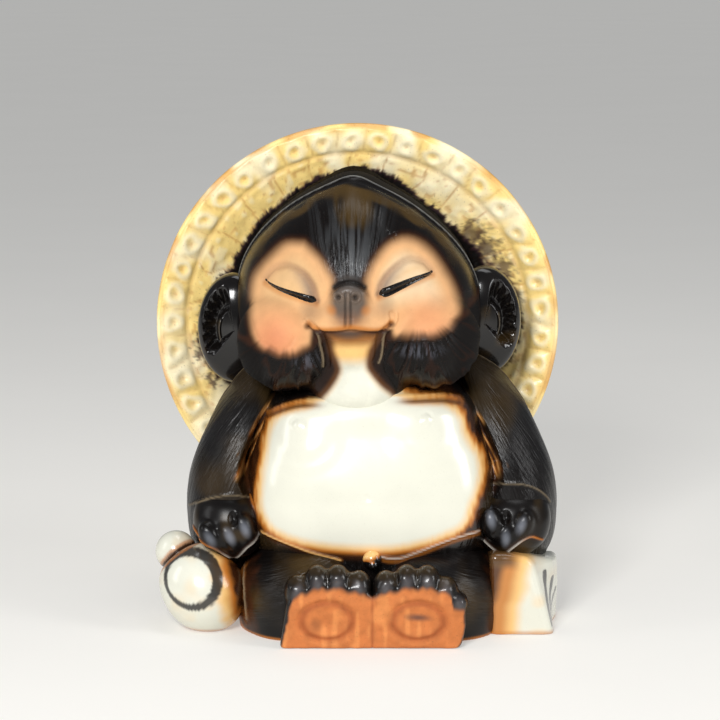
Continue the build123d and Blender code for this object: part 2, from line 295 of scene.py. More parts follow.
def combed_lines():
    """Fine strands pressed into the clay along the comb's run, as a height."""
    group = new_group(
        "combed_lines",
        (("Comb", "NodeSocketVector", (0, 0, 0)), ("Pitch", "NodeSocketFloat", 1.2)),
        (("Height", "NodeSocketFloat"),),
    )
    take = group.nodes.new("NodeGroupInput")
    give = group.nodes.new("NodeGroupOutput")
    apart = add_node(group, "ShaderNodeSeparateXYZ", Vector=take.outputs["Comb"])
    across = add_node(group, "ShaderNodeMath", [("operation", "DIVIDE")],
                      i0=apart.outputs["X"], i1=take.outputs["Pitch"])
    length = add_node(group, "ShaderNodeMath", [("operation", "MULTIPLY")],
                      i0=take.outputs["Pitch"], i1=12.0)
    along = add_node(group, "ShaderNodeMath", [("operation", "DIVIDE")],
                     i0=apart.outputs["Y"], i1=length.outputs["Value"])
    run = add_node(group, "ShaderNodeCombineXYZ", X=across.outputs["Value"], Y=along.outputs["Value"])
    strands = add_node(group, "ShaderNodeTexNoise", [("noise_dimensions", "2D")],
                       Vector=run.outputs["Vector"], Scale=1.0, Detail=3.0)
    press = add_node(group, "ShaderNodeMath", [("operation", "MULTIPLY")],
                     i0=strands.outputs["Fac"], i1=apart.outputs["Z"])
    group.links.new(press.outputs["Value"], give.inputs["Height"])
    return group


mottle_group = glaze_mottle()
comb_group = combed_lines()


def glazed(name, shine=0.24, cloud=0.15, specks=0.0, scale=60.0, pitch=1.2, comb_depth=0.0, coat=0.25,
           mirror=0.5):
    """Glazed clay: the sprayed colours, a mottled gloss and combed lines under the glaze."""
    material = bpy.data.materials.new(name)
    material.use_nodes = True
    tree = material.node_tree
    shader = tree.nodes["Principled BSDF"]
    paint = add_node(tree, "ShaderNodeAttribute", [("attribute_name", "glaze")])
    dry = add_node(tree, "ShaderNodeAttribute", [("attribute_name", "matt")])
    mottle = add_node(tree, "ShaderNodeGroup", [("node_tree", mottle_group)], Colour=paint.outputs["Color"],
                      Cloud=cloud, Specks=specks, Scale=scale)
    tree.links.new(mottle.outputs["Colour"], shader.inputs["Base Color"])
    gloss = add_node(tree, "ShaderNodeMath", [("operation", "MULTIPLY_ADD")],
                     i0=mottle.outputs["Cloud"], i1=0.12, i2=shine - 0.06)
    rough = add_node(tree, "ShaderNodeMix", i0=dry.outputs["Fac"], i2=gloss.outputs["Value"], i3=0.8)
    tree.links.new(rough.outputs[0], shader.inputs["Roughness"])
    veil = add_node(tree, "ShaderNodeMath", [("operation", "MULTIPLY_ADD"), ("use_clamp", True)],
                    i0=dry.outputs["Fac"], i1=-coat, i2=coat)
    tree.links.new(veil.outputs["Value"], shader.inputs["Coat Weight"])
    shader.inputs["Coat Roughness"].default_value = 0.12
    shader.inputs["Specular IOR Level"].default_value = mirror
    hair = add_node(tree, "ShaderNodeAttribute", [("attribute_name", "comb")])
    lines = add_node(tree, "ShaderNodeGroup", [("node_tree", comb_group)],
                     Comb=hair.outputs["Vector"], Pitch=pitch)
    relief = add_node(tree, "ShaderNodeMath", [("operation", "MULTIPLY_ADD")],
                      i0=mottle.outputs["Cloud"], i1=0.08, i2=lines.outputs["Height"])
    press = add_node(tree, "ShaderNodeBump", Height=relief.outputs["Value"], Strength=1.0,
                     Distance=comb_depth * MM)
    tree.links.new(press.outputs["Normal"], shader.inputs["Normal"])
    return material


fur_glaze = glazed("black_fur_glaze", shine=0.3, cloud=0.25, pitch=1.1, comb_depth=0.45, coat=0.0,
                   mirror=0.25)
belly_glaze = glazed("belly_glaze", shine=0.2, cloud=0.03, specks=0.1, scale=40.0, pitch=1.3, comb_depth=0.6)

hat_middle = 155
hat_radius = 115
hat_rim_y = 38
hat_slope = math.radians(23)
hat_rise = math.tan(hat_slope)
into_hat = 3


def dish(p):
    """How far back the hat's front face lies at each place, and the rump that leans out under its rim."""
    r = np.hypot(p[:, 0], p[:, 2] - hat_middle)
    return hat_rim_y + np.where(r < hat_radius, (hat_radius - r) * hat_rise, (r - hat_radius) * 3)


def body_skin(p):
    """How far forward the body's front lies at each place; it is boxed out towards the arms."""
    heights = [ring[0] for ring in body_rings]
    sizes = [ring[1:] for ring in body_rings]
    half, front, back = follow(heights, sizes, np.clip(p[:, 2], heights[0], heights[-1])).T
    middle = (front + back) / 2
    fullness = 2 + 1.4 * soft(30, 60, p[:, 2]) * soft(137, 118, p[:, 2])
    across = np.clip(np.abs(p[:, 0] - body_x) / half, 0, 1)
    return middle - (middle - front) * (1 - across**fullness) ** (1 / fullness)


rings = [(z, body_x, (front + back) / 2, half, (back - front) / 2) for z, half, front, back in body_rings]
body = make_piece("body", loft(rings, 150, 420))
p = places(body)
p[:, 1] = np.where(outward(body)[:, 1] < -0.02, np.minimum(p[:, 1], body_skin(p)), p[:, 1])
put(body, p)
n = outward(body)
front = soft(0.1, -0.25, n[:, 1])
p[:, 1] = np.minimum(p[:, 1], dish(p) + into_hat)
rise = np.zeros(len(p))
breasts = ((-29, 108, 25), (37, 110, 25))
for x, z, reach in breasts:
    spot = np.hypot(p[:, 0] - x, 1.15 * (p[:, 2] - z))
    rise += 2.2 * bump(spot, reach)
    rise -= 0.3 * bump(np.abs(spot - 0.55 * reach), 5) * soft(z + 2, z - 8, p[:, 2])
nipples = ((-31.7, 114), (36.7, 117.4))
for x, z in nipples:
    spot = from_spot(p, x, z)
    rise += 0.8 * bump(spot, 3.6) - 0.5 * bump(np.abs(spot - 3.7), 1.1) * soft(z - 1, z + 2, p[:, 2])
navel = np.hypot((p[:, 0] - 5) / 1.6, p[:, 2] - 77)
rise -= 0.7 * bump(navel, 3.2)
belly_hems = (
    curve([(-52, 55.3), (-43.5, 52.5), (-35, 49.8), (-27, 47), (-18.7, 44.8), (-9, 42.5)]),
    curve([(13, 44.5), (18, 43.5), (24, 43.8), (32, 46.6), (45, 51.6), (55, 54.5), (66, 56.3)]),
)
hem = np.minimum(*(away(p, line) for line in belly_hems))
rise += 0.9 * bump(hem, 1.1)
collars = (curve([(-18, 127.5), (-29, 126.5), (-36.5, 124.6), (-43.5, 121.6), (-50, 117.5)]),
           curve([(19, 129.8), (30, 129.3), (39.5, 129), (48, 128.4), (56, 126.5)]))
collar = np.minimum(*(away(p, line) for line in collars))
under_collar = np.minimum(*(away(p, line - (0, 2.4)) for line in collars))
rise += 0.7 * bump(collar, 1.3) - 0.3 * bump(under_collar, 1.6)
belly_outline = [(-49, 104.6), (-50.5, 94.7), (-52, 84.8), (-53, 74.2), (-52, 67), (-48.3, 60.5),
                 (-43.5, 57), (-37.3, 54.5), (-27, 52), (-13, 50.3), (8, 49.4), (23, 50), (37.6, 53.2),
                 (48.4, 56.8), (57.8, 62), (61.5, 72), (65, 80), (66.8, 88.3), (65.3, 97), (61, 103.5),
                 (57.5, 110), (56.3, 118), (52, 124), (44, 127.3), (30, 129), (20, 135), (0, 139),
                 (-18, 133), (-27, 125.6), (-35, 123), (-42, 119), (-46.5, 112)]
belly = within(p, belly_outline) + 1.6 * soft(122, 112, p[:, 2])
belly += 0.9 * ripple(p[:, 0] / 2.2, p[:, 2] / 5, 3) * soft(4, -6, belly) * soft(48, 75, p[:, 2])
belly += 0.8 * ripple(p[:, 0] / 1.1, p[:, 2] / 4, 4) * soft(6, 0, belly) * soft(46, 60, p[:, 2])
body_around = 70 * np.arctan2(p[:, 0] - body_x, -p[:, 1])
fur = soft(-3, -12, belly)
rise += 0.5 * (hair_ridges(body_around, p[:, 2], 2.6, 5) - 0.5) * fur
p += n * (rise * front)[:, None]
p[:, 2] = np.maximum(p[:, 2], 0)
put(body, p)
glaze = np.tile(BLACK, (len(p), 1))
spray(glaze, OLIVE, 0.3 * soft(0.1, 0.7, ripple(p[:, 0] / 22, p[:, 2] / 18, 8)))
spray(glaze, BROWN, soft(-7, -3, belly) * front)
spray(glaze, AMBER, soft(-3.5, -0.8, belly) * front)
spray(glaze, HONEY, soft(-1.8, 1.2, belly) * front)
spray(glaze, CREAM, soft(-0.5, 5.5, belly) * front)
collar_end = soft(17, 30, np.abs(p[:, 0] - 1))
spray(glaze, AMBER, 0.6 * bump(under_collar, 3.4) * collar_end * front)
spray(glaze, BROWN, 0.8 * bump(under_collar, 1.7) * collar_end * front)
# Lighter lines on the collar ridges: partly the glaze breaking, partly painted highlight.
spray(glaze, HONEY, 0.75 * bump(collar, 1.0) * soft(-3, 1, belly) * front)
# Painted shade: black above the left collar line, where the jowl shades the chest.
over_collar = p[:, 2] - np.interp(p[:, 0], *collars[0][::-1].T)
spray(glaze, BLACK, soft(0.2, 1.6, over_collar) * soft(-15, -20, p[:, 0]) * front)
spray(glaze, AMBER, 0.45 * bump(away(p, belly_hems[1] - (0, 1.8)), 1.8) * front)
# Amber, honey and whitish lines on the hem ridges: partly the glaze breaking, partly painted highlight.
spray(glaze, AMBER, 0.6 * bump(hem, 1.5) * front)
spray(glaze, HONEY, 0.8 * bump(hem, 0.8) * soft(12, 4, p[:, 0]) * front)
spray(glaze, tint(196, 188, 178), 0.8 * bump(hem, 0.8) * soft(4, 12, p[:, 0]) * front)
keep_paint(body, glaze, comb=np.column_stack([body_around, p[:, 2], fur]))
body.data.materials.append(belly_glaze)
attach(body, "root")
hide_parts("body_front", "body_back")

# Legs
# Two hollow legs, moulded flat underneath and luted to the body, that point forward.
# Black glaze thins to olive on top, and breaks light on the ridge beside the flask, a light line that is
# partly glaze and partly painted highlight.
leg_middle = 18
leg_rings = ((-14, 37, 37, 54), (-36, 37, 37.5, 51), (-56, 34, 34.5, 46), (-70, 29, 28.5, 41),
             (-77, 26.5, 21, 34))
flask_ridge = curve([(-62.4, 38), (-61.6, 24), (-60.2, 8)])
for side, name in ((-1, "leg_left"), (1, "leg_right")):
    rings = [(y, body_x + side * apart, leg_middle, half, top - leg_middle)
             for y, apart, half, top in leg_rings]
    clay = loft(rings, 70, 220)
    for v in clay.verts:
        v.co = (v.co.x, v.co.z, max(v.co.y, 0))
    leg = make_piece(name, clay)
    p = places(leg)
    apart, top = follow([-r[0] for r in leg_rings], [(r[1], r[3]) for r in leg_rings], -p[:, 1]).T
    low = np.clip((leg_middle - p[:, 2]) / (top - leg_middle), 0, 0.9)
    full = (1 - low**4) ** 0.25 / np.sqrt(1 - low**2)
    p[:, 0] += (p[:, 0] - body_x - side * apart) * (full - 1) * soft(-8, -45, p[:, 1])
    put(leg, p)
    n = outward(leg)
    strands = hair_ridges(p[:, 2] + 0.35 * np.abs(p[:, 0] - body_x), p[:, 0], 2.4, 21 + side)
    rise = 0.45 * (strands - 0.5) * soft(4, 14, p[:, 2])
    ridge = away(p, flask_ridge)
    rise += 0.8 * bump(ridge, 1.2) * soft(0, -0.3, n[:, 1])
    p += n * rise[:, None]
    p[:, 2] = np.maximum(p[:, 2], 0)
    put(leg, p)
    glaze = np.tile(BLACK, (len(p), 1))
    thin = soft(0.0, 0.9, ripple(p[:, 0] / 14, p[:, 2] / 20, 30 + side))
    spray(glaze, OLIVE, 0.75 * thin * soft(2, 20, p[:, 2]))
    outer = side * (p[:, 0] - body_x) + 3 * ripple(p[:, 2] / 5, p[:, 1] / 5, 4)
    beside = soft(-26, -42, p[:, 1])
    spray(glaze, BROWN, 0.8 * soft(61, 68, outer) * beside)
    spray(glaze, AMBER, 0.9 * soft(68, 74, outer) * beside)
    # Light line on the ridge beside the flask: partly glaze breaking, partly painted highlight.
    spray(glaze, EDGE_BREAK_AND_GLINT, 0.8 * bump(ridge, 0.8) * soft(0, -0.3, n[:, 1]))
    spray(glaze, AMBER, 0.8 * soft(2.2, 0.6, p[:, 2]))
    keep_paint(leg, glaze, comb=np.column_stack([p[:, 2] + 0.35 * np.abs(p[:, 0] - body_x), p[:, 0],
                                                 soft(4, 14, p[:, 2])]))
    leg.data.materials.append(fur_glaze)
    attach(leg, "root")
    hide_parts(name)

# Feet
# Upright soles luted on the legs' ends, with rounded toes on top and a ring pressed into each pad.
# The soles are bare red clay, the toes black glaze that runs down between them.
CLAY = tint(193, 114, 61)
CLAY_DARK = tint(146, 74, 38)
foot_spread = 24.3
soles = {-1: ((-26, 0), (-26, 27), (-20, 32.5), (-12, 35), (0, 35.5), (10, 34), (17, 30.5), (21.6, 25),
              (23, 16), (24.2, 7), (25.6, 0)),
         1: ((-26, 0), (-26, 27), (-20, 32.5), (-12, 35), (0, 35.5), (10, 34.5), (17, 31), (20, 27),
             (25.5, 22), (25.8, 12), (24, 3), (22.5, 0))}
toes = {-1: ((-17, 31.2, 10), (-5.8, 34.4, 10), (5.2, 34.2, 10), (15.8, 29, 10)),
        1: ((-17, 31.2, 10), (-5.8, 34.4, 10), (5.2, 34.2, 10), (15.2, 28.6, 9.4), (22.2, 23.6, 5.5))}
toe_gaps = (-11.4, -0.3, 10.4)
glaze_lines = {-1: ((-24, 27), (-18, 30), (-8, 32.3), (0, 32.8), (8, 31.8), (14, 29.6), (18, 26.5),
                    (21, 20)),
               1: ((-24, 27), (-18, 30), (-8, 32.5), (0, 33), (8, 32.4), (14, 31), (17.6, 28.5),
                   (18.8, 22), (25, 20.5))}
glove_lines = {-1: ((0, 25), (8, 22.4), (17, 20.4), (28, 19.6)),
               1: ((0, 21.5), (3, 23), (10, 24.6), (40, 25))}
pad_height = 15
heel_y = -70
sole_thick = 18
sole_y = -88.9
toe_y = -79.4
toe_half_depth = 9.3
bare_clay = glazed("bare_clay", shine=0.3, cloud=0.12, specks=0.5, scale=180.0, comb_depth=0.5,
                   mirror=0.3)


def lump(clay, middle, half_sizes, turn=(0, 0, 0)):
    """A soft lump of clay pressed onto the others."""
    turn = Euler([math.radians(a) for a in turn])
    stretch = Matrix.LocRotScale(Vector(middle), turn, Vector(half_sizes))
    bmesh.ops.create_icosphere(clay, subdivisions=4, radius=1, matrix=stretch)


def knead(name, clay, grain, rounds):
    """Joins lumps into one skin and smooths the joins."""
    piece = make_piece(name, clay)
    join = piece.modifiers.new("join", "REMESH")
    join.mode = "VOXEL"
    join.voxel_size = grain * MM
    joined = bpy.data.meshes.new_from_object(piece.evaluated_get(bpy.context.evaluated_depsgraph_get()))
    piece.modifiers.clear()
    spare = piece.data
    soft_skin = bmesh.new()
    soft_skin.from_mesh(joined)
    for _ in range(rounds):
        bmesh.ops.smooth_vert(soft_skin, verts=soft_skin.verts, factor=0.5, use_axis_x=True, use_axis_y=True,
                              use_axis_z=True)
    for face in soft_skin.faces:
        face.smooth = True
    soft_skin.to_mesh(joined)
    soft_skin.free()
    piece.data = joined
    bpy.data.meshes.remove(spare)
    joined.name = piece.name
    return piece


def knead_twice(name, clay, coarse, coarse_rounds, grain, rounds):
    """Joins lumps with wide soft joins first, and then in a finer skin."""
    rough = knead(name, clay, coarse, coarse_rounds)
    clay = bmesh.new()
    clay.from_mesh(rough.data)
    bmesh.ops.scale(clay, vec=(1 / MM, 1 / MM, 1 / MM), verts=clay.verts)
    spare = rough.data
    bpy.data.objects.remove(rough)
    bpy.data.meshes.remove(spare)
    return knead(name, clay, grain, rounds)


def pull(clay, outline, by):
    """A slab of clay: an outline of corners, pulled out by a vector."""
    start = clay.faces.new([clay.verts.new(corner) for corner in outline])
    pulled = bmesh.ops.extrude_face_region(clay, geom=[start])["geom"]
    bmesh.ops.translate(clay, verts=[v for v in pulled if isinstance(v, bmesh.types.BMVert)], vec=by)


for side, name in ((-1, "foot_left"), (1, "foot_right")):
    middle = body_x + side * foot_spread
    clay = bmesh.new()
    pull(clay, [(middle + side * x, heel_y, z) for x, z in soles[side]], (0, -sole_thick, 0))
    sole_edges = [e for e in clay.edges if all(v.co.y < heel_y for v in e.verts)]
    sole_edges = [e for e in sole_edges if max(v.co.z for v in e.verts) > 1]
    bmesh.ops.bevel(clay, geom=sole_edges, offset=1.8, segments=3, profile=0.5, affect="EDGES", material=-1)
    bmesh.ops.triangulate(clay, faces=clay.faces)
    for x, z, tall in toes[side]:
        lump(clay, (middle + side * x, toe_y, z), (0.5 * tall + 2.4, toe_half_depth, tall))
    foot = knead_twice(name, clay, 1.0, 4, 0.7, 2)
    p = places(foot)
    n = outward(foot)
    front = soft(-0.2, -0.6, n[:, 1])
    outer = side * (p[:, 0] - middle)
    spot = np.hypot(outer / 1.4, p[:, 2] - pad_height)
    rise = -1.2 * bump(np.abs(spot - 10.4), 2.2) - 1.4 * bump(spot, 9.8)
    rise += 0.3 * ripple(p[:, 0] / 4, p[:, 2] / 3, 41) + 0.5 * bump(np.abs(spot - 13.4), 2.4)
    between = np.min([np.abs(outer - gap) for gap in toe_gaps], axis=0)
    rise -= 0.5 * bump(between, 1.6) * soft(30, 34, p[:, 2])
    p += n * (rise * front)[:, None]
    p[:, 1] = np.maximum(p[:, 1], sole_y)
    p[:, 2] = np.maximum(p[:, 2], 0)
    put(foot, p)
    above = p[:, 2] - np.interp(outer, *zip(*glaze_lines[side])) + bump(between, 3.5)
    above += 0.5 * ripple(outer / 2.2, outer * 0, 43)
    glove = outer - np.interp(p[:, 2], *zip(*glove_lines[side]))
    glove += 0.5 * ripple(p[:, 2] / 2.5, p[:, 2] * 0, 44)
    bare = soft(2.2, -1.8, above) * soft(0.9, -0.9, glove) * soft(-0.2, -0.45, n[:, 1])
    glaze = np.tile(BLACK, (len(p), 1))
    toe_fronts = np.min([np.abs(outer - x) for x, z, tall in toes[side]], axis=0)
    # Painted highlight: grey-blue on the middle of each toe's front.
    spray(glaze, tint(96, 92, 94), 0.6 * bump(above - 3.5, 5) * bump(toe_fronts, 4.5) * front)
    # Painted highlight: olive on the toes' upward faces.
    spray(glaze, OLIVE, 0.35 * soft(0.35, 0.8, n[:, 2]) * soft(30, 34, p[:, 2]))
    spray(glaze, CLAY, bare)
    spray(glaze, tint(226, 148, 84), 0.5 * bare * soft(0.1, 0.8, ripple(p[:, 0] / 3, p[:, 2] / 9, 45)))
    spray(glaze, CLAY_DARK, 0.6 * bare * bump(np.abs(spot - 9.6), 2.6))
    spray(glaze, CLAY_DARK, 0.5 * bare * bump(outer + foot_spread, 1.4))
    smear = np.hypot(outer / 3.2, p[:, 2] - pad_height - 2 + 0.06 * outer)
    spray(glaze, tint(92, 66, 58), 0.85 * bare * bump(smear, 3.2) * (side > 0))
    spray(glaze, tint(92, 58, 40), 0.4 * bare * bump(from_spot(p, middle - 6, 13), 5) * (side < 0))
    keep_paint(foot, glaze, matt=bare)
    foot.data.materials.append(bare_clay)
    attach(foot, "root")
    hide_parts(name)

# Nub
# A ball of clay pressed on under the belly, between the legs.
# Its top and upper-left side carry a painted highlight, amber and honey over the black glaze.
clay = bmesh.new()
lump(clay, (body_x, -64, 43), (5.2, 5, 5.2))
lump(clay, (body_x + 0.4, -68.2, 40.6), (2.4, 1.6, 2.2))
nub = knead("belly_nub", clay, 0.4, 3)
n = outward(nub)
p = places(nub)
glaze = np.tile(BLACK, (len(n), 1))
# Painted highlight: amber and honey where the faces turn up and to the left.
painted_highlight = n[:, 2] - 0.35 * n[:, 0] + 0.15 * ripple(p[:, 0] / 1.5, p[:, 1] / 1.5, 51) - soft(43, 41, p[:, 2])
spray(glaze, AMBER, soft(-0.05, 0.25, painted_highlight))
spray(glaze, HONEY, soft(0.2, 0.6, painted_highlight))
keep_paint(nub, glaze)
nub.data.materials.append(belly_glaze)
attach(nub, "root")
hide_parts("belly_nub")

# Arms
# Hollow arms luted to the body's sides; a seam of the mould runs down the outside.
# Combed fur under black glaze, with amber tufts where the fur lies over the belly.
arm_rings = (
    (147, 48, 3, 3, 5),
    (140, 55, 2, 10, 14),
    (124, 63, -1, 18, 25),
    (104, 71, -6, 21.5, 31),
    (82, 77, -10, 24, 34),
    (60, 79, -12, 24, 34),
    (38, 78, -9, 21, 28),
    (22, 74, -6, 13, 18),
    (17, 72, -5, 4, 6),
)
arm_border = ((60, 60), (72, 63), (81, 67), (91, 66.3), (101, 62.5), (113, 57), (122, 52), (150, 40))
cuffs = {-1: curve([(-93, 64.5), (-86.5, 69.5), (-79.5, 72.4), (-73, 74), (-67, 74.4), (-59.5, 72.6)]),
         1: curve([(75, 79.4), (83, 80.6), (91.3, 79.8), (98, 76.8), (103, 72.3), (106, 67.8)])}
for side, name in ((-1, "arm_left"), (1, "arm_right")):
    rings = [(z, body_x + side * apart, y, half, deep) for z, apart, y, half, deep in arm_rings]
    arm = make_piece(name, loft(rings, 150, 260))
    p = places(arm)
    n = outward(arm)
    middle = np.interp(p[:, 2], [r[0] for r in arm_rings[::-1]], [r[1] for r in arm_rings[::-1]])
    turn = 27 * np.arctan2(side * (p[:, 0] - body_x) - middle, -(p[:, 1] + 8))
    slant = turn + 0.25 * p[:, 2]
    inner = side * (p[:, 0] - body_x)
    border = np.interp(p[:, 2], *zip(*arm_border)) + (2 if side < 0 else 0)
    beside = inner - border
    locks = hair_ridges(beside + 0.12 * p[:, 2], p[:, 2], 2.6, 65)
    tuft = soft(6, 0, beside + 3 * ripple(p[:, 2] / 6, beside / 9, 66 + side)) * soft(80, 88, p[:, 2])
    tuft *= soft(124, 116, p[:, 2]) * soft(0.35, 0.05, n[:, 1])
    cuff = away(p, cuffs[side])
    strands = hair_ridges(slant, p[:, 2], 2.6, 61 + side)
    rise = 0.3 * (strands - 0.5) + 0.9 * tuft * (locks - 0.6)
    rise += 0.6 * bump(cuff, 1.1) * soft(0.3, -0.1, n[:, 1])
    seam = np.abs(p[:, 1] - 6) + 100 * (n[:, 0] * side < 0.2)
    rise += 0.9 * bump(seam, 1.5) * soft(96, 112, p[:, 2])
    p += n * rise[:, None]
    tucked = soft(5, -3, beside) * soft(0.5, 0.2, n[:, 1])
    p[:, 1] += tucked * np.maximum(0, body_skin(p) + 2 - p[:, 1])
    p[:, 1] = np.minimum(p[:, 1], dish(p) + into_hat)
    put(arm, p)
    glaze = np.tile(BLACK, (len(p), 1))
    spray(glaze, OLIVE, 0.3 * soft(0.1, 0.9, ripple(p[:, 0] / 16, p[:, 2] / 20, 70 + side)))
    spray(glaze, OLIVE, 0.35 * soft(118, 134, p[:, 2]))
    spray(glaze, BROWN, 0.8 * soft(4, 0, beside) * soft(0.4, 0.1, n[:, 1]))
    spray(glaze, AMBER, 0.8 * tuft * soft(0.45, 0.8, locks))
    spray(glaze, HONEY, 0.6 * tuft * soft(0.75, 0.95, locks))
    # Light lines on the cuff and the mould seam: partly glaze breaking, partly painted highlight.
    spray(glaze, EDGE_BREAK_AND_GLINT, 0.4 * bump(cuff, 0.7) * soft(0.3, -0.1, n[:, 1]))
    spray(glaze, EDGE_BREAK_AND_GLINT, 0.6 * bump(seam, 1.0) * soft(96, 112, p[:, 2]))
    keep_paint(arm, glaze, comb=np.column_stack([slant, p[:, 2], np.ones(len(p))]))
    arm.data.materials.append(fur_glaze)
    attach(arm, "root")
    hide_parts(name)

# Hands
# Hands pressed onto the arms' ends, over the flask and the ledger, with fingers modelled by thumb.
# Smooth black glaze breaks to a light line along the cuff and round the hand's lower edge, partly glaze and
# partly painted highlight; the knuckles carry painted highlights.
hand_rings = ((77, 78, -28, 8, 8), (72, 78, -31, 16, 15), (64, 78, -34, 20, 18), (55, 78, -36, 20, 18),
              (46, 77, -38, 16.5, 15), (40, 75.5, -39, 10, 9))
hand_edges = {-1: curve([(-59, 73.5), (-56.7, 68), (-54, 62), (-53.3, 56), (-55.7, 51), (-60.7, 46.3),
                         (-67, 39.8), (-72.5, 42.3), (-77.4, 46.6), (-84.3, 50.2), (-91, 56.6)]),
              1: curve([(67, 68.5), (65.6, 61), (66, 54.3), (70.8, 48.2), (78.9, 43.4), (85.4, 48),
                        (93.4, 53), (101, 50)])}
fingers = {-1: ((-79.5, 52.5, 36), (-69.8, 52, 26), (-61.4, 56.5, 20)),
           1: ((73.5, 59, 12), (81, 52, 0), (89.8, 58, -20))}
finger_y = -50.2
finger_half_sizes = (6.2, 6.4, 10)
finger_bow = 12
pits = {-1: (-67.3, 63), 1: (80.8, 63.5)}
knuckle_highlights = {-1: ((-69.3, 53.6, 26), (-61, 57.6, 20), (-80.2, 52.4, 30)),
            1: ((72.6, 63, 10), (80.6, 52.4, 0), (89, 59.6, -20))}
finger_gaps = {-1: ([(-66, 60.5), (-62, 55), (-58.8, 51.3)], [(-76.4, 56), (-73, 51), (-68.5, 44)]),
               1: ([(74.3, 54.5), (78, 57.5), (80.5, 60.5)], [(86.5, 57), (85, 52), (82, 47)])}
for side, name in ((-1, "hand_left"), (1, "hand_right")):
    rings = [(z, body_x + side * apart, y, half, deep) for z, apart, y, half, deep in hand_rings]
    clay = loft(rings, 40, 90)
    for x, z, lean in fingers[side]:
        lump(clay, (x, finger_y, z), finger_half_sizes, (finger_bow, -lean, 0))
    hand = knead_twice(name, clay, 1.1, 8, 0.6, 2)
    p = places(hand)
    n = outward(hand)
    front = soft(0.2, -0.2, n[:, 1])
    edge = away(p, hand_edges[side])
    rise = 0.5 * bump(away(p, cuffs[side]), 1.1) + 0.9 * bump(edge, 1.1)
    pit = np.hypot(p[:, 0] - pits[side][0], 0.7 * (p[:, 2] - pits[side][1]))
    rise -= 2.2 * bump(pit, 3.2)
    for line in finger_gaps[side]:
        rise -= 0.5 * bump(away(p, curve(line)), 2.2)
    p += n * (rise * front)[:, None]
    put(hand, p)
    glaze = np.tile(BLACK, (len(p), 1))
    spray(glaze, OLIVE, 0.35 * soft(0.1, 0.9, ripple(p[:, 0] / 9, p[:, 2] / 9, 80 + side)))
    spray(glaze, BROWN, 0.5 * bump(edge, 2.4) * front)
    outer = soft(78, 90, side * (p[:, 0] - body_x)) * soft(62, 54, p[:, 2])
    # The light line round the hand's lower edge and along the cuff is partly the glaze breaking and partly
    # painted highlight.
    spray(glaze, tint(190, 184, 174), 0.8 * bump(edge, 0.9) * soft(68, 60, p[:, 2]) * (1 - outer) * front)
    spray(glaze, AMBER, 0.8 * bump(edge, 0.9) * np.maximum(outer, soft(60, 68, p[:, 2])) * front)
    spray(glaze, EDGE_BREAK_AND_GLINT, 0.4 * bump(away(p, cuffs[side]), 0.7) * front)
    # Painted highlights: grey-blue patches over the knuckles.
    for x, z, lean in knuckle_highlights[side]:
        dx, dz = p[:, 0] - x, p[:, 2] - z
        tilt = math.radians(lean)
        across = dx * math.cos(tilt) + dz * math.sin(tilt)
        down = dz * math.cos(tilt) - dx * math.sin(tilt)
        spray(glaze, tint(132, 136, 146), 0.55 * bump(np.hypot(across, 0.5 * down), 3.6) * front)
    keep_paint(hand, glaze)
    hand.data.materials.append(fur_glaze)
    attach(hand, "root")
    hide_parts(name)

# Head
# The hollow head is luted from a face mould and a back mould, with a fine ridge just before the seam.
# The face is matt tan slip sprayed over the clay, with black glaze on the brow and on the combed jowls.
head_x = 1
head_seam = 6
muzzle_x = -4
nose_x = -4.5
fan_height = 182
head_rings = (
    (120, 1, 42, -36, 62),
    (131, 1, 50, -45, 70),
    (148, 1, 63, -55, 74),
    (168, 1, 67.5, -59, 76),
    (188, 0, 66, -59, 76),
    (205, -1, 59, -55, 74),
    (220, -2, 47, -47, 70),
    (234, -2.5, 30, -33, 66),
    (242, -2.5, 16, -18, 62),
    (245.6, -2, 9, -10, 60),
    (247, -2, 3, -4, 56),
)
head_lumps = {
    "jowl_left": ((-38, -33, 158), (28, 29, 28)),
    "jowl_right": ((39, -34, 159), (28, 29, 27)),
    "lip": ((-4, -44, 158), (16, 17, 15)),
    "throat": ((0, -34, 135), (26, 21, 19)),
    "muzzle": ((-4, -44, 172), (26, 24, 17)),
    "nose": ((-4, -62, 185.5), (10.5, 7.5, 9)),
}
TAN = tint(218, 168, 118)
TAN_LIGHT = tint(214, 174, 125)
BLUSH = tint(208, 132, 92)
SLATE = tint(84, 78, 74)
slits = {-1: [(-50, 191.8), (-44.7, 189.4), (-39, 187.6), (-32.3, 186), (-25.7, 184.4), (-22, 183.7)],
         1: [(11.6, 187.4), (16.3, 188.9), (22.9, 191.5), (29.6, 193.9), (35.3, 195.6), (40.6, 197.2)]}
lid_tops = {-1: [(-50, 191.8), (-47.5, 195.8), (-43.5, 199.2), (-37, 200.6), (-29, 197.4), (-24, 191),
                 (-22, 183.7)],
            1: [(11.6, 187.4), (13, 192.5), (18, 199), (27, 204.4), (35.5, 202.5), (40.6, 197.2)]}
patches = (
    [(-29, 212.5), (-21, 206), (-14.5, 197), (-13, 190), (-15, 179), (-20, 166), (-25, 158), (-32, 154),
     (-41, 152), (-50, 156), (-55.5, 165), (-58, 179), (-57, 190), (-53, 197), (-45, 206), (-38, 211.5)],
    [(8.5, 203), (15, 211), (24, 215), (33, 212.5), (41, 205.5), (48.5, 194.5), (54, 183), (54.5, 175),
     (51, 167.5), (42, 163), (28, 161), (18, 163), (8, 172), (5, 185), (5, 195)],
    [(-21, 182), (-14, 189), (5, 189), (12, 182), (19, 172), (14, 166), (-5, 166), (-21, 166), (-26, 171)],
)
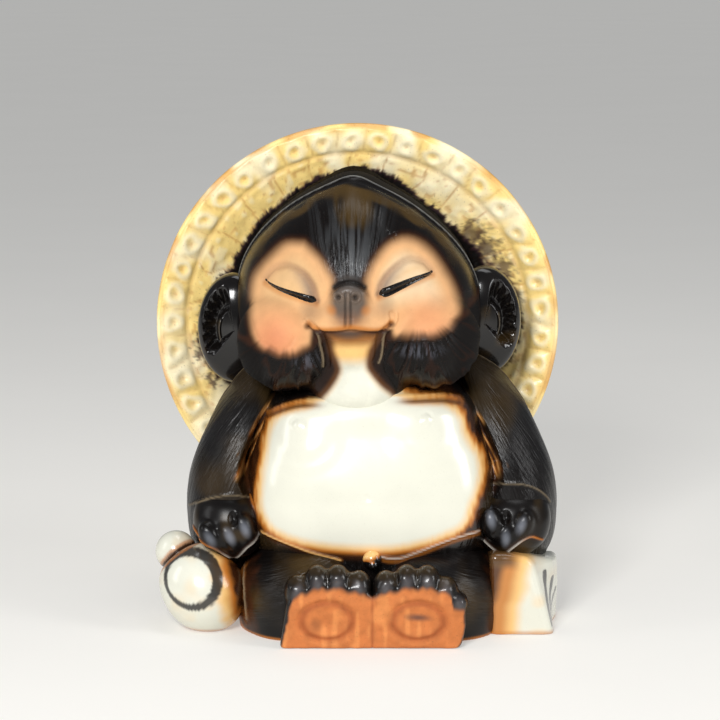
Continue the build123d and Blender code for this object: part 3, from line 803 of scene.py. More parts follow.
jowls = (
    [(-80, 164), (-60, 160), (-50, 156.5), (-41, 154), (-32, 154.5), (-24, 158.5), (-20.5, 163),
     (-19.5, 156), (-17, 147), (-20, 140), (-26, 131), (-28, 116), (-80, 116)],
    [(15, 163.5), (22, 163), (32, 164), (41, 164.5), (50, 168), (58, 174), (84, 178), (84, 116), (27, 116),
     (20, 132), (15.4, 140), (12.5, 146.5), (13.5, 156)],
)
bib = [(-17, 168), (-15.5, 156), (-12.6, 149), (-12, 144), (-16.5, 136), (-21, 130), (-24, 124),
       (-17, 116), (0, 113), (15, 116), (25, 124), (20.7, 132), (14.4, 138), (9, 144.8), (7.5, 149),
       (9, 156), (12, 168)]
jowl_folds = (curve([(-28.5, 172.5), (-25.6, 170.6), (-21.3, 165.7), (-19.9, 159.5), (-18.5, 152.7),
                     (-18.5, 147)]),
              curve([(21, 176.8), (20.5, 172), (17.2, 169), (14.4, 165.5), (13.6, 159.5), (12.9, 153.7),
                     (11.5, 149.5)]))
mouth = curve([(-26, 169.6), (-23.7, 168.2), (-19.9, 167.2), (-12.3, 167.8), (-3.7, 169), (2.9, 168.2),
               (10.5, 167), (15.3, 168.2), (17.8, 170.4)])
nose_arc = curve([(-12.2, 191.2), (-8.9, 193.5), (-4.5, 194.4), (0.1, 193.5), (3.9, 191.2)])
nostrils = ((-10.1, 187, 2.0), (-1.2, 187, 2.5))


def kneaded_head(name, grain, rounds):
    """The skull with jowls, lip, throat, muzzle and nose pressed on."""
    rings = [(z, x, (front + back) / 2, half, (back - front) / 2) for z, x, half, front, back in head_rings]
    clay = loft(rings, 70, 140)
    for middle, half_sizes in head_lumps.values():
        lump(clay, middle, half_sizes)
    return knead_twice(name, clay, 1.5, 14, grain, rounds)


def cut_at(piece, y, keep_front):
    """Keeps the side of a mould seam that lies before or behind it, and closes the cut."""
    cut = bmesh.new()
    cut.from_mesh(piece.data)
    bmesh.ops.bisect_plane(cut, geom=cut.verts[:] + cut.edges[:] + cut.faces[:], dist=1e-6,
                           plane_co=(0, y * MM, 0), plane_no=(0, 1, 0),
                           clear_outer=keep_front, clear_inner=not keep_front)
    rim = [e for e in cut.edges if e.is_boundary]
    for e in rim:
        e.smooth = False
    bmesh.ops.holes_fill(cut, edges=rim, sides=0)
    bmesh.ops.recalc_face_normals(cut, faces=cut.faces)
    cut.to_mesh(piece.data)
    cut.free()


brow_ridge = curve([(-67, 180), (-65.5, 191), (-59.6, 204.5), (-50.2, 216.6), (-37.2, 227.4), (-25.4, 236),
                    (-18.5, 238.8), (-13.5, 241.6), (-7.7, 244.2), (-1.8, 245), (4.2, 244.2),
                    (10.1, 241.6), (14.1, 238.6), (19, 235.8), (33.8, 227.2), (43.7, 217.4), (53.6, 206),
                    (63.9, 193), (66, 182)])
face = kneaded_head("face", 0.72, 3)
cut_at(face, head_seam + 6, True)
p = places(face)
n = outward(face)
front = soft(0.1, -0.2, n[:, 1])
brow = 60 * np.arctan2(p[:, 0] - muzzle_x, p[:, 2] - 140)
rise = np.zeros(len(p))
jowl = np.maximum(*(within(p, outline) for outline in jowls))
fan_x = np.where(p[:, 0] < muzzle_x, -34, 33)
fan = 30 * np.arctan2(p[:, 0] - fan_x, fan_height - p[:, 2])
fan_run = from_spot(p, fan_x, fan_height)
furry = soft(-2, 5, jowl)
strands = hair_ridges(fan, fan_run, 3.0, 101)
rise += furry * (1.5 * (strands - 0.6) + 0.5 * ripple(fan / 7, fan_run / 14, 103))
wedge = soft(22, 10, np.abs(p[:, 0] - muzzle_x) - 0.25 * np.abs(p[:, 2] - 205))
wedge *= soft(190, 200, p[:, 2]) * soft(238, 226, p[:, 2])
combing = hair_ridges(brow, p[:, 2] / 3, 0.95, 107)
rise += 0.45 * wedge * (combing - 0.5)
lid = {}
for side in (-1, 1):
    top = curve(lid_tops[side])
    lid[side] = within(p, list(slits[side]) + lid_tops[side][::-1][1:-1])
    from_top = away(p, top)
    covered = soft(-0.4, 0.5, lid[side])
    rise += covered * 2.9 * (1 - (1 - np.clip(from_top / 8, 0, 1)) ** 2)
    rise -= 0.8 * bump(from_top, 2.6)
    rise -= 0.7 * bump(away(p, curve(slits[side])), 2.0) * (1 - covered)
rise -= 1.0 * bump(away(p, mouth), 1.2)
rise += 0.9 * bump(away(p, mouth + (0, 3.2)), 3.6)
corners = ((-26.6, 169.9), (18.4, 170.6))
for x, z in corners:
    rise -= 1.0 * bump(from_spot(p, x, z), 2.2)
for line in jowl_folds:
    rise += 0.9 * bump(away(p, line), 1.4)
    rise -= 1.2 * bump(away(p, line + ((2.6, 0) if line[0, 0] < 0 else (-2.6, 0))), 2.2)
rise -= 0.7 * bump(away(p, nose_arc), 1.6)
rise += 0.6 * bump(away(p, nose_arc - (0, 2.6)), 2.2)
for x, z, size in nostrils:
    nostril = from_spot(p, x, z)
    rise += 0.9 * bump(np.abs(nostril - size), 1.2) - 1.4 * bump(nostril, size)
lip_grooves = [curve([(x, 189), (x, 171)], 4) for x in (-6.4, -3.6)]
for line in lip_grooves:
    rise -= 0.8 * bump(away(p, line), 1.0)
rise += 0.5 * bump(away(p, curve([(-5, 189), (-5, 171)], 4)), 1.3)
cheek_creases = ([(-57, 172), (-53, 163), (-44, 158)], [(36, 168), (47, 173), (54, 178)],
                 [(-34, 164), (-36, 160), (-41, 157)])
for line in cheek_creases:
    rise -= 0.45 * bump(away(p, curve(line)), 1.3)
glaze_beads = ((17, 219), (20.5, 218), (19, 215))
for x, z in glaze_beads:
    rise += 0.8 * bump(from_spot(p, x, z), 1.5)
p += n * (rise * front)[:, None]
lean = np.arctan2(p[:, 0] - head_x, p[:, 2] - 170)
drawn = away(p, brow_ridge) < 0.8
behind = p[:, 1] - np.polyval(np.polyfit(lean[drawn], p[drawn, 1], 2), lean)
upper = soft(176, 186, p[:, 2])
crest = bump(behind, 1.6) * upper
p += n * (0.9 * crest - 0.4 * bump(behind + 4, 3) * upper)[:, None]
put(face, p)

glaze = np.tile(BLACK, (len(p), 1))
under_ridge = -behind / 3
inner_band = under_ridge + 2 * ripple(6 * lean, behind / 8, 111)
spray(glaze, OLIVE, 0.85 * soft(1.5, 3, inner_band) * soft(7, 4, inner_band) * soft(160, 185, p[:, 2]))
crown_patch = np.hypot(p[:, 0] + 1, 0.8 * (p[:, 2] - 234)) + 3 * ripple(p[:, 0] / 3, p[:, 2] / 9, 112)
spray(glaze, OLIVE, 0.8 * soft(13, 6, crown_patch) * soft(1, 4, inner_band))
tan = np.maximum.reduce([within(p, outline) for outline in patches])
# Painted sheen: grey on the combed lines of the brow, brightest above the nose.
sheen_spot = bump(np.hypot((p[:, 0] - muzzle_x) / 1.3, 0.55 * (p[:, 2] - 205)), 14)
spray(glaze, tint(84, 86, 88), (0.2 + 0.5 * sheen_spot) * wedge * soft(0.3, 0.9, combing))
facing = front * (1 - soft(0.88, 0.97, np.abs(n[:, 0])) * soft(45, 52, np.abs(p[:, 0])))
spray(glaze, BROWN, 0.8 * soft(-5.5, -1, tan) * facing)
spray(glaze, TAN, soft(-3.5, 4, tan) * facing)
light = soft(3, 12, tan) * soft(176, 190, p[:, 2]) * facing
spray(glaze, TAN_LIGHT, light)
spray(glaze, tint(222, 194, 156), light * soft(-6, 10, p[:, 0]))
cheek_blushes = ((-44, 163, 0.9), (38, 171, 0.55))
for x, z, strength in cheek_blushes:
    spray(glaze, BLUSH, strength * bump(from_spot(p, x, z), 22) * soft(-2, 3, tan) * facing)
for side in (-1, 1):
    spray(glaze, tint(214, 174, 126), 0.8 * soft(1, 8, lid[side]))
    top = curve(lid_tops[side])
    inner = soft(18, 2, np.abs(p[:, 0] - (-22 if side < 0 else 12)))
    # Painted shade: grey-brown in the crease above each lid, darker towards the nose.
    spray(glaze, tint(140, 108, 88), (0.35 + 0.45 * inner) * bump(away(p, top) + 0.5 * (lid[side] > 0), 3.6))
    spray(glaze, tint(120, 104, 96), 0.75 * inner * soft(0, 2, lid[side]) * soft(9, 2, away(p, top)))
    spray(glaze, AMBER, 0.5 * bump(away(p, curve(slits[side]) - (0, 2.2)), 2.6))
nose = soft(12, 7, np.hypot(p[:, 0] - nose_x, 0.8 * (p[:, 2] - 185)))
spray(glaze, SLATE, 0.9 * nose * front)
spray(glaze, tint(150, 98, 58), 0.7 * bump(np.hypot(p[:, 0] - nose_x, 1.5 * (p[:, 2] - 174)), 13) * front)
spray(glaze, SLATE, 0.55 * bump(np.hypot((p[:, 0] - nose_x) / 1.9, p[:, 2] - 179), 10) * front)
# Painted shade: slate on each side of the muzzle, between the nose and the mouth corners.
muzzle_side_shade = ((-25, 177.5), (15, 180.5))
for x, z in muzzle_side_shade:
    spray(glaze, SLATE, 0.4 * bump(from_spot(p, x, z), 8.5) * front)
amber_spots = ((-13.9, 179.6), (4.6, 179.6))
for x, z in amber_spots:
    spray(glaze, AMBER, 0.6 * bump(from_spot(p, x, z), 4.2) * front)
# Painted shade: black along the groove over the nose.
spray(glaze, BLACK, 0.95 * bump(away(p, nose_arc), 2.3) * front)
for x, z, size in nostrils:
    spray(glaze, BLACK, 0.9 * bump(from_spot(p, x, z), size))
for line in lip_grooves:
    spray(glaze, BLACK, 0.6 * bump(away(p, line), 1.0) * front)
spray(glaze, AMBER, 0.8 * bump(away(p, mouth + (0, 1.6)), 2.6) * front)
below = soft(169, 167.5, p[:, 2]) * front
throat = within(p, bib)
spray(glaze, tint(34, 22, 17), below * soft(24, 20, np.abs(p[:, 0] + 3)))
spray(glaze, tint(88, 56, 32), soft(-1.8, 1.5, throat) * below)
spray(glaze, tint(164, 108, 56), soft(1, 6, throat) * below)
spray(glaze, HONEY, soft(1.5, 6, throat) * soft(164, 157, p[:, 2]) * below)
spray(glaze, CREAM, soft(1, 5.5, throat) * soft(155, 146, p[:, 2]) * below)
spray(glaze, SLATE, 0.5 * bump(np.hypot((p[:, 0] - muzzle_x) / 1.8, p[:, 2] - 167), 5.5) * below)
spray(glaze, BROWN, 0.85 * bump(away(p, mouth), 1.1) * front)
for x, z in corners:
    spray(glaze, BROWN, 0.8 * bump(from_spot(p, x, z), 3.0) * front)
fringe = jowl + 2.0 * (strands - 0.5)
beside_bib = soft(-1, 1, p[:, 2] - 163 + 0.9 * away(p, np.array(bib)))
spray(glaze, BROWN, 0.8 * soft(-5, 0, fringe) * beside_bib * front)
spray(glaze, BLACK, soft(-2.0, 3, fringe) * front)
spray(glaze, BROWN, 0.3 * furry * soft(0.85, 1.0, strands) * soft(-0.2, -0.6, n[:, 1]))
# Painted highlights: grey-blue on fine strands near the top of each jowl.
fine_strands = soft(0.55, 1.0, hair_ridges(fan, fan_run, 0.9, 109))
jowl_sheens = ((-27, 151.5, 11, 8), (33, 157, 18, 6))
for x, z, wide, tall in jowl_sheens:
    sheen_spot = bump(np.hypot((p[:, 0] - x) / wide, (p[:, 2] - z) / tall), 1)
    spray(glaze, tint(104, 106, 116), 0.45 * sheen_spot * furry * fine_strands * front)
# Light lines on the jowl folds: partly glaze breaking, partly painted highlight.
for line in jowl_folds:
    spray(glaze, EDGE_BREAK_AND_GLINT, 0.6 * bump(away(p, line), 0.9) * soft(168, 164, p[:, 2]) * front)
# Painted highlight: light grey along the crest of the ridge.
spray(glaze, tint(150, 150, 146), 0.6 * soft(0.5, 1.0, crest))
matt = soft(-3, 3, tan) * (1 - furry) * (1 - 0.7 * nose) * 0.55
matt = np.maximum(matt, soft(0.5, -1.5, under_ridge) * soft(165, 185, p[:, 2]))
matt = np.maximum(matt, soft(46, 56, np.abs(p[:, 0] - 1)) * soft(185, 172, p[:, 2]))
hair = np.where(furry > 0.5, 1.0, np.clip(wedge, 0, 1))
comb = np.column_stack([np.where(furry > 0.5, fan, brow), np.where(furry > 0.5, fan_run, p[:, 2]), hair])
keep_paint(face, glaze, matt=matt, comb=comb)
cut_at(face, head_seam, True)
face_glaze = glazed("face_slip", shine=0.26, cloud=0.08, specks=0.12, scale=90.0, comb_depth=0.5, coat=0.0,
                    mirror=0.15)
face.data.materials.append(face_glaze)
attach(face, "root")
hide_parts("face_shell")

head_back = kneaded_head("head_back", 1.5, 3)
p = places(head_back)
n = outward(head_back)
rise = 0.4 * (hair_ridges(p[:, 0], p[:, 1], 3.0, 121) - 0.5)
p += n * rise[:, None]
p[:, 1] = np.minimum(p[:, 1], dish(p) + into_hat)
p[:, 2] -= 1.6 * soft(222, 244, p[:, 2]) * soft(6, 24, p[:, 1])
put(head_back, p)
glaze = np.tile(BLACK, (len(p), 1))
spray(glaze, OLIVE, 0.15 * soft(0.2, 0.9, ripple(p[:, 0] / 14, p[:, 1] / 14, 123)))
whole = np.ones(len(p))
keep_paint(head_back, glaze, matt=whole, comb=np.column_stack([p[:, 0], p[:, 1], whole]))
cut_at(head_back, head_seam, False)
dull_glaze = glazed("dull_black_glaze", shine=0.3, cloud=0.25, pitch=1.1, comb_depth=0.45, coat=0.0,
                    mirror=0.02)
head_back.data.materials.append(dull_glaze)
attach(head_back, "root")
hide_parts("head_back")

# Eyes
# The closed eyes are drawn with a loaded brush, in thick glossy black that stands up from the slip.
# Each is one stroke along the lower edge of a lid, and it swells towards the nose.
skin = bmesh.new()
skin.from_mesh(face.data)
face_tree = BVHTree.FromBMesh(skin)
skin.free()


def brush_stroke(name, line, half_width, lift):
    """A stroke of thick glaze laid on the face along a line, its half width given along it."""
    line = curve(line, 16)
    stroke = bmesh.new()
    bmesh.ops.create_grid(stroke, x_segments=90, y_segments=8, size=0.5)
    for v in stroke.verts:
        along, across = v.co.x + 0.5, 2 * v.co.y
        at = np.array([along * (len(line) - 1)])
        x, z = follow(np.arange(len(line)), line, at)[0]
        dx, dz = follow(np.arange(len(line)), np.gradient(line, axis=0), at)[0]
        reach = half_width(along) * across / math.hypot(dx, dz)
        x, z = x - dz * reach, z + dx * reach
        hit = face_tree.ray_cast(Vector((x, -200, z)) * MM, Vector((0, 1, 0)))[0]
        v.co = (x, hit.y / MM - lift * (1 - across**2) - 0.05, z)
    bmesh.ops.solidify(stroke, geom=stroke.faces[:], thickness=0.4)
    piece = make_piece(name, stroke)
    n = len(piece.data.vertices)
    keep_paint(piece, np.tile(tint(12, 11, 11), (n, 1)))
    piece.data.materials.append(enamel)
    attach(piece, "root")
    return piece


enamel = glazed("brushed_black", shine=0.22, cloud=0.1, scale=200.0, coat=0.1, mirror=0.3)
brush_stroke("eye_left", slits[-1], lambda t: 0.2 + 2.0 * t**0.5 * (1 - t**14), 0.5)
brush_stroke("eye_right", slits[1], lambda t: 0.25 + 2.6 * (1 - t) ** 0.5 * (1 - (1 - t) ** 14), 0.55)

# Ears
# Half-moon ears luted to the head's sides, each with a rolled rim and a pleated hollow pressed in by thumb.
# Glossy black glaze, thinner and lighter on the pleats, the light partly glaze and partly painted highlight.
ear_reach = 70
ear_y = 18
ear_half_width = 21
ear_half_depth = 14
ear_half_height = 31
ear_glaze = glazed("ear_glaze", shine=0.14, cloud=0.2, scale=80.0, comb_depth=0.2, coat=0.15, mirror=0.4)
for side, name, height in ((-1, "ear_left", 157), (1, "ear_right", 161)):
    clay = bmesh.new()
    poles_front = Matrix.Rotation(math.pi / 2, 4, "X")
    bmesh.ops.create_uvsphere(clay, u_segments=260, v_segments=130, radius=1, matrix=poles_front)
    across, deep, up = np.array([v.co for v in clay.verts]).T
    across = side * across
    rho, turn = np.hypot(across, up), np.arctan2(up, across)
    mouth_open = soft(-0.75, -0.4, turn) * soft(1.4, 1.1, turn) * (deep < 0)
    pleat = 0.5 + 0.5 * np.cos(23 * turn + 1.5 * rho)
    sink = np.clip((0.86 + 0.025 * pleat - rho) / 0.4, 0, 1)
    pocket = 9.5 * np.sin(sink * math.pi / 2) * soft(0.38, 0.46, rho) + 4.0 * soft(0.46, 0.38, rho)
    ridge = pleat * np.sin(math.pi * np.clip(sink * 1.1, 0, 1))
    lip = bump(rho - 0.42, 0.06) * soft(0.75, 0.35, turn)
    y = ear_y + ear_half_depth * np.sign(deep) * np.abs(deep) ** 0.7
    y += mouth_open * (pocket - 2.6 * ridge - 3.0 * lip)
    x = head_x + side * (ear_reach + ear_half_width * across)
    z = height + ear_half_height * up
    for vert, place in zip(clay.verts, np.column_stack([x, y, z])):
        vert.co = place
    crest = mouth_open * np.maximum(0.7 * ridge, lip)
    ear = make_piece(name, clay)
    p = places(ear)
    glaze = np.tile(BLACK, (len(p), 1))
    # Lighter pleat crests and lip: partly glaze breaking, partly painted highlight.
    spray(glaze, EDGE_BREAK_AND_GLINT, 0.3 * soft(0.6, 1.0, crest))
    spray(glaze, OLIVE, 0.3 * soft(0.2, 0.9, ripple(p[:, 0] / 8, p[:, 2] / 8, 131)))
    keep_paint(ear, glaze)
    ear.data.materials.append(ear_glaze)
    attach(ear, "root")
    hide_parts(name)

# Hat
# A round dished plate of clay behind the head, with a straw weave pressed into it in rings of blocks.
# Straw-yellow glaze pools brown in the grooves; the head's black glaze has run onto it in a ragged fringe.
STRAW = tint(254, 222, 140)
STRAW_LIGHT = tint(255, 245, 210)
RUST = tint(190, 128, 58)
PLUM = tint(62, 40, 44)
hat_crown = 40
hat_thick = 6.2
hat_through = hat_thick / math.cos(hat_slope)
rim_round = 2.4
crown_ball = hat_crown / math.sin(hat_slope)


def dish_front(r):
    """How far back the dish's front face lies at a radius."""
    if r > hat_crown:
        return hat_rim_y + (hat_radius - r) * hat_rise
    rim_of_crown = hat_rim_y + (hat_radius - hat_crown) * hat_rise
    return rim_of_crown + math.sqrt(crown_ball**2 - r * r) - math.sqrt(crown_ball**2 - hat_crown**2)


rim_start = hat_radius - rim_round
rim_middle = dish_front(rim_start) + hat_through / 2
profile = [(r, dish_front(r)) for r in np.linspace(0, rim_start, 90)]
rim_tall = 0.46 * hat_through
for lean in np.linspace(-math.pi / 2, math.pi / 2, 9):
    profile.append((rim_start + rim_round * math.cos(lean), rim_middle + rim_tall * math.sin(lean)))
profile += [(r, dish_front(r) + hat_through) for r in np.linspace(rim_start, 0, 60)]
clay = bmesh.new()
dots = [clay.verts.new((r, y, hat_middle)) for r, y in profile]
wire = [clay.edges.new(pair) for pair in zip(dots[:-1], dots[1:])]
bmesh.ops.spin(clay, geom=dots + wire, cent=(0, 0, hat_middle), axis=(0, 1, 0), angle=2 * math.pi, steps=540,
               use_merge=True)
bmesh.ops.remove_doubles(clay, verts=clay.verts, dist=0.01)
hat = make_piece("hat", clay)
p = places(hat)
n = outward(hat)
r = np.hypot(p[:, 0], p[:, 2] - hat_middle)
turn = np.arctan2(p[:, 2] - hat_middle, p[:, 0]) / (2 * math.pi)
front = soft(0.2, -0.2, n[:, 1])
rise = np.zeros(len(p))
dark = np.zeros(len(p))
pale = np.zeros(len(p))
weave = ((98, 112.5, 41, 1.0, 1), (72, 98, 27, 0.55, 2), (46, 72, 20, 0.55, 3), (20, 46, 12, 0.55, 4))
for low, high, count, swell, seed in weave:
    ring = soft(low, low + 0.8, r) * soft(high, high - 0.8, r)
    drift = 0.12 * ripple(turn * count, r / 9, 140 + seed)
    cell = turn * count + drift
    beside = np.abs(cell - np.round(cell)) * 2 * math.pi * r / count
    half = math.pi * (low + high) / 2 / count
    across = np.clip(beside / half, 0, 1)
    up = (r - (low + high) / 2) / ((high - low) / 2)
    pillow = (1 - (1 - across) ** 4) * (1 - up**4)
    rise += ring * swell * pillow
    rise -= ring * (0.35 if seed == 1 else 0.6) * bump(beside, 1.2)
    dark = np.maximum(dark, ring * (0.25 if seed == 1 else 0.55) * bump(beside, 0.8))
    pinch = np.hypot(np.abs(beside - half), (r - (low + high) / 2))
    if seed == 1:
        lobe = 0.8 * ripple(cell * 3, r / 4, 146)
        rise -= 1.2 * bump(pinch + lobe, 3.4)
        rise += 0.6 * bump(np.abs(pinch - 4.4 + lobe), 2.4)
        dark = np.maximum(dark, ring * 0.5 * bump(pinch + lobe, 1.9))
        pale = np.maximum(pale, ring * 0.8 * bump(np.abs(pinch - 4.4 + 2 * lobe), 2.6))
    else:
        rise += ring * 0.5 * ripple(cell * 5, r / 3.2, 150 + seed)
        pale = np.maximum(pale, ring * 0.5 * soft(0.2, 0.7, ripple(cell * 5, r / 3.2, 150 + seed)))
        dark = np.maximum(dark, ring * 0.5 * soft(0.35, 0.8, ripple(cell * 7, r / 2.6, 160 + seed)))
    rise -= 0.9 * bump(np.abs(r - low), 1.3)
    dark = np.maximum(dark, 0.7 * bump(np.abs(r - low), 0.9))
face_side = np.where(n[:, 1] < 0.3, 1.0, 0.6) * soft(hat_radius - 1, hat_radius - 3, r)
p += n * (rise * face_side)[:, None]
put(hat, p)
fringe_line = [(-72, 184), (-65, 199), (-60, 208), (-51, 218), (-36, 229), (-25, 236.5), (-13, 241),
               (-2, 243), (10, 242), (22, 236.5), (36, 226), (46, 217), (56, 208), (64, 199), (71, 190),
               (76, 180), (70, 130), (-66, 126)]
ragged = within(p, fringe_line)
ear_places = ((-70.5, 151), (72.5, 155))
for x, z in ear_places:
    ragged = np.maximum(ragged, 26 * (1 - np.hypot((p[:, 0] - x) / 20.5, (p[:, 2] - z) / 31)))
ragged += 1.3 * ripple(turn * 420, r / 4, 171) + 1.2 * ripple(turn * 90, r / 9, 172)
glaze = np.tile(STRAW, (len(p), 1))
spray(glaze, STRAW_LIGHT, 0.75 * soft(-0.2, 0.7, ripple(p[:, 0] / 13, p[:, 2] / 13, 173)))
# Paler straw on the raised weave: partly thinner glaze, partly painted highlight.
spray(glaze, STRAW_LIGHT, 0.8 * pale)
spray(glaze, RUST, dark)
spray(glaze, tint(206, 140, 60), 0.7 * soft(109, 114, r) * soft(-0.3, 0.5, ripple(turn * 60, r / 5, 174)))
smudges = ((66, 205, 11), (74, 197, 11), (83, 188, 9), (88, 172, 8), (-84, 122, 5), (-90, 138, 6))
for x, z, reach in smudges:
    smudge = from_spot(p, x, z) + 4 * ripple(p[:, 0] / 2.3, p[:, 2] / 2.3, 175)
    smudge += 2.5 * ripple(p[:, 0] / 0.9, p[:, 2] / 0.9, 176)
    spray(glaze, PLUM, 0.8 * soft(reach, 0.3 * reach, smudge) * front)
spray(glaze, PLUM, soft(-2.2, -0.6, ragged) * front)
spray(glaze, BLACK, soft(-0.6, 0.8, ragged) * front)
keep_paint(hat, glaze, matt=0.25 * np.ones(len(p)))
straw_glaze = glazed("straw_glaze", shine=0.3, cloud=0.1, specks=0.55, scale=110.0, comb_depth=0.6, coat=0.2)
hat.data.materials.append(straw_glaze)
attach(hat, "root")
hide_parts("hat")

# Flask
# A sake flask held under the left hand: a round bulb and a knob of a neck, luted at a dark waist.
# Cream glaze with a plain ring brushed on in black; amber where the glaze thins against the leg.
flask_middle = Vector((-85, -42, 21.5))
flask_axis = Vector((-0.585, 0.425, 0.69)).normalized()
flask_lean = Matrix.Translation(flask_middle) @ flask_axis.to_track_quat("Z", "Y").to_matrix().to_4x4()
bulb = [(22.5 * math.cos(a), 26 * math.sin(a)) for a in np.linspace(-math.pi / 2, 0, 30)]
shoulder = np.linspace(0.06, math.pi / 2 - 0.05, 30)
bulb += [(7.5 + 15 * math.cos(a) ** 0.9, 22.4 * math.sin(a)) for a in shoulder]
bulb += [(7.4, 22.8), (7.4, 24), (0, 24)]
knob = [(0, 20.5), (8.6, 20.8), (9.8, 21.8)]
knob += [(11.4 * math.cos(a), 26.4 + 11.2 * math.sin(a)) for a in np.linspace(-0.36, 1.36, 30)]
knob += [(1.6, 37.1), (0, 36.9)]
ring_middle = (-90.5, 30)
ring_radius = 14.4
waist_height = 21.8
INK = tint(30, 28, 30)


def turned(outline, steps):
    """Clay thrown on a wheel: an outline of radii and heights spun about the flask's axis."""
    clay = bmesh.new()
    dots = [clay.verts.new((radius, 0, height)) for radius, height in outline]
    wire = [clay.edges.new(pair) for pair in zip(dots[:-1], dots[1:])]
    bmesh.ops.spin(clay, geom=dots + wire, cent=(0, 0, 0), axis=(0, 0, 1), angle=2 * math.pi, steps=steps,
                   use_merge=True)
    bmesh.ops.remove_doubles(clay, verts=clay.verts, dist=0.01)
    return clay


for name, outline in (("flask_body", bulb), ("flask_neck", knob)):
    clay = turned(outline, 220)
    height = np.array([v.co.z for v in clay.verts])
    turn = np.array([math.atan2(v.co.y, v.co.x) for v in clay.verts])
    bmesh.ops.transform(clay, matrix=flask_lean, verts=clay.verts)
    for v in clay.verts:
        v.co.z = max(v.co.z, 0)
    piece = make_piece(name, clay)
    p = places(piece)
    n = outward(piece)
    glaze = np.tile(CREAM, (len(p), 1))
    spray(glaze, HONEY, 0.25 * soft(0.1, 0.8, ripple(p[:, 0] / 9, p[:, 2] / 9, 181)))
    near_leg = p[:, 0] + 0.25 * (p[:, 2] - 20) + 1.5 * ripple(p[:, 2] / 4, p[:, 1] / 4, 182)
    spray(glaze, HONEY, soft(-79, -72, near_leg))
    spray(glaze, AMBER, soft(-73, -67, near_leg))
    spray(glaze, BROWN, soft(-68, -64, near_leg))
    dry_brush = 0.9 * ripple(turn * 3, height * 2.2, 183) + 0.5 * ripple(turn * 22, height, 184)
    from_ring = np.hypot(p[:, 0] - ring_middle[0], 1.05 * (p[:, 2] - ring_middle[1]))
    half_band = 2.0 + 0.9 * (p[:, 0] - ring_middle[0]) / 14
    stroke = np.abs(from_ring - ring_radius) + 0.25 * dry_brush - half_band
    spray(glaze, INK, 0.95 * soft(0.5, -0.5, stroke) * soft(0.1, -0.2, n[:, 1]))
    waist = np.abs(height - waist_height) + 0.4 * dry_brush
    spray(glaze, AMBER, 0.7 * soft(4.2, 2.4, waist))
    spray(glaze, tint(44, 28, 20), 0.95 * soft(2.4, 1.2, waist))
    spray(glaze, AMBER, 0.6 * soft(3, 0.5, p[:, 2]))
    keep_paint(piece, glaze)
    piece.data.materials.append(belly_glaze)
    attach(piece, "root")
    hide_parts(name)

# Ledger
# A closed account book standing on its end under the right hand, cut from a slab of clay with a knife.
# Cream glaze, browned beside the leg, with a few grass-blade brush strokes on the outer cover.
fold_x, fold_y = 101, -60
cover_x, cover_y = 111, -22
book = [(72, -8), (72, fold_y), (fold_x, fold_y), (cover_x, cover_y), (cover_x, -8)]
book_height = 45
clay = bmesh.new()
pull(clay, [(x, y, 0) for x, y in book], (0, 0, book_height))
sharp = [e for e in clay.edges if max(v.co.z for v in e.verts) > 1]
bmesh.ops.bevel(clay, geom=sharp, offset=3.5, segments=5, profile=0.5, affect="EDGES", material=-1)
bmesh.ops.triangulate(clay, faces=clay.faces)
ledger = knead("ledger", clay, 0.6, 2)
p = places(ledger)
n = outward(ledger)
slope = Vector((cover_y - fold_y, fold_x - cover_x)).normalized()
cover = soft(0.5, 0.8, n[:, 0] * slope.x + n[:, 1] * slope.y)
front = soft(-0.5, -0.85, n[:, 1]) * (1 - cover)
along = (p[:, 1] - fold_y) * slope.x + (p[:, 0] - fold_x) * -slope.y
rise = 0.8 * bump(p[:, 2] - 24, 24) * np.maximum(front, cover)
rise += 0.2 * ripple(p[:, 0] / 6, p[:, 2] / 6, 191)
p += n * rise[:, None]
by_fold = bump(np.hypot(p[:, 0] - fold_x, 0.5 * (p[:, 1] - fold_y)), 15)
p[:, 0] += by_fold * (5.5 - 0.27 * p[:, 2])
p[:, 0] = np.minimum(p[:, 0], cover_x + 0.5)
p[:, 2] *= 1 - 0.13 * soft(80, 108, p[:, 0]) - 0.1 * soft(-55, -15, p[:, 1])
p[:, 2] = np.clip(p[:, 2], 0, book_height + 0.4)
put(ledger, p)
glaze = np.tile(CREAM, (len(p), 1))
spray(glaze, HONEY, 0.3 * soft(0.1, 0.8, ripple(p[:, 0] / 9, p[:, 2] / 9, 192)))
stain = p[:, 0] + 1.2 * ripple(p[:, 2] / 5, p[:, 1] / 5, 193) - 0.3 * np.maximum(p[:, 2] - 18, 0)
spray(glaze, HONEY, soft(92, 84, stain))
spray(glaze, AMBER, 0.85 * soft(86, 78, stain))
spray(glaze, BROWN, 0.9 * soft(77, 71, stain))
spray(glaze, HONEY, 0.4 * soft(36, 43, p[:, 2] + ripple(p[:, 0] / 3, p[:, 1] / 3, 194)))
spray(glaze, BROWN, 0.8 * soft(35, 41, p[:, 2]) * soft(90, 82, p[:, 0]))
spray(glaze, AMBER, 0.6 * soft(3, 0.5, p[:, 2]))
blades = (((2.6, 4), (3, 18), (5.4, 32)), ((4.6, 4), (6, 16), (10, 26)), ((6.4, 4), (8.4, 12), (12.6, 18)))
q = np.column_stack([0.4 * along, p[:, 1], p[:, 2]])
for blade in blades:
    stroke = away(q, curve(blade)) + 0.3 * ripple(along / 3, p[:, 2] / 6, 195)
    spray(glaze, INK, 0.95 * soft(1.5, 0.8, stroke) * cover)
keep_paint(ledger, glaze)
ledger.data.materials.append(belly_glaze)
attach(ledger, "root")
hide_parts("ledger")

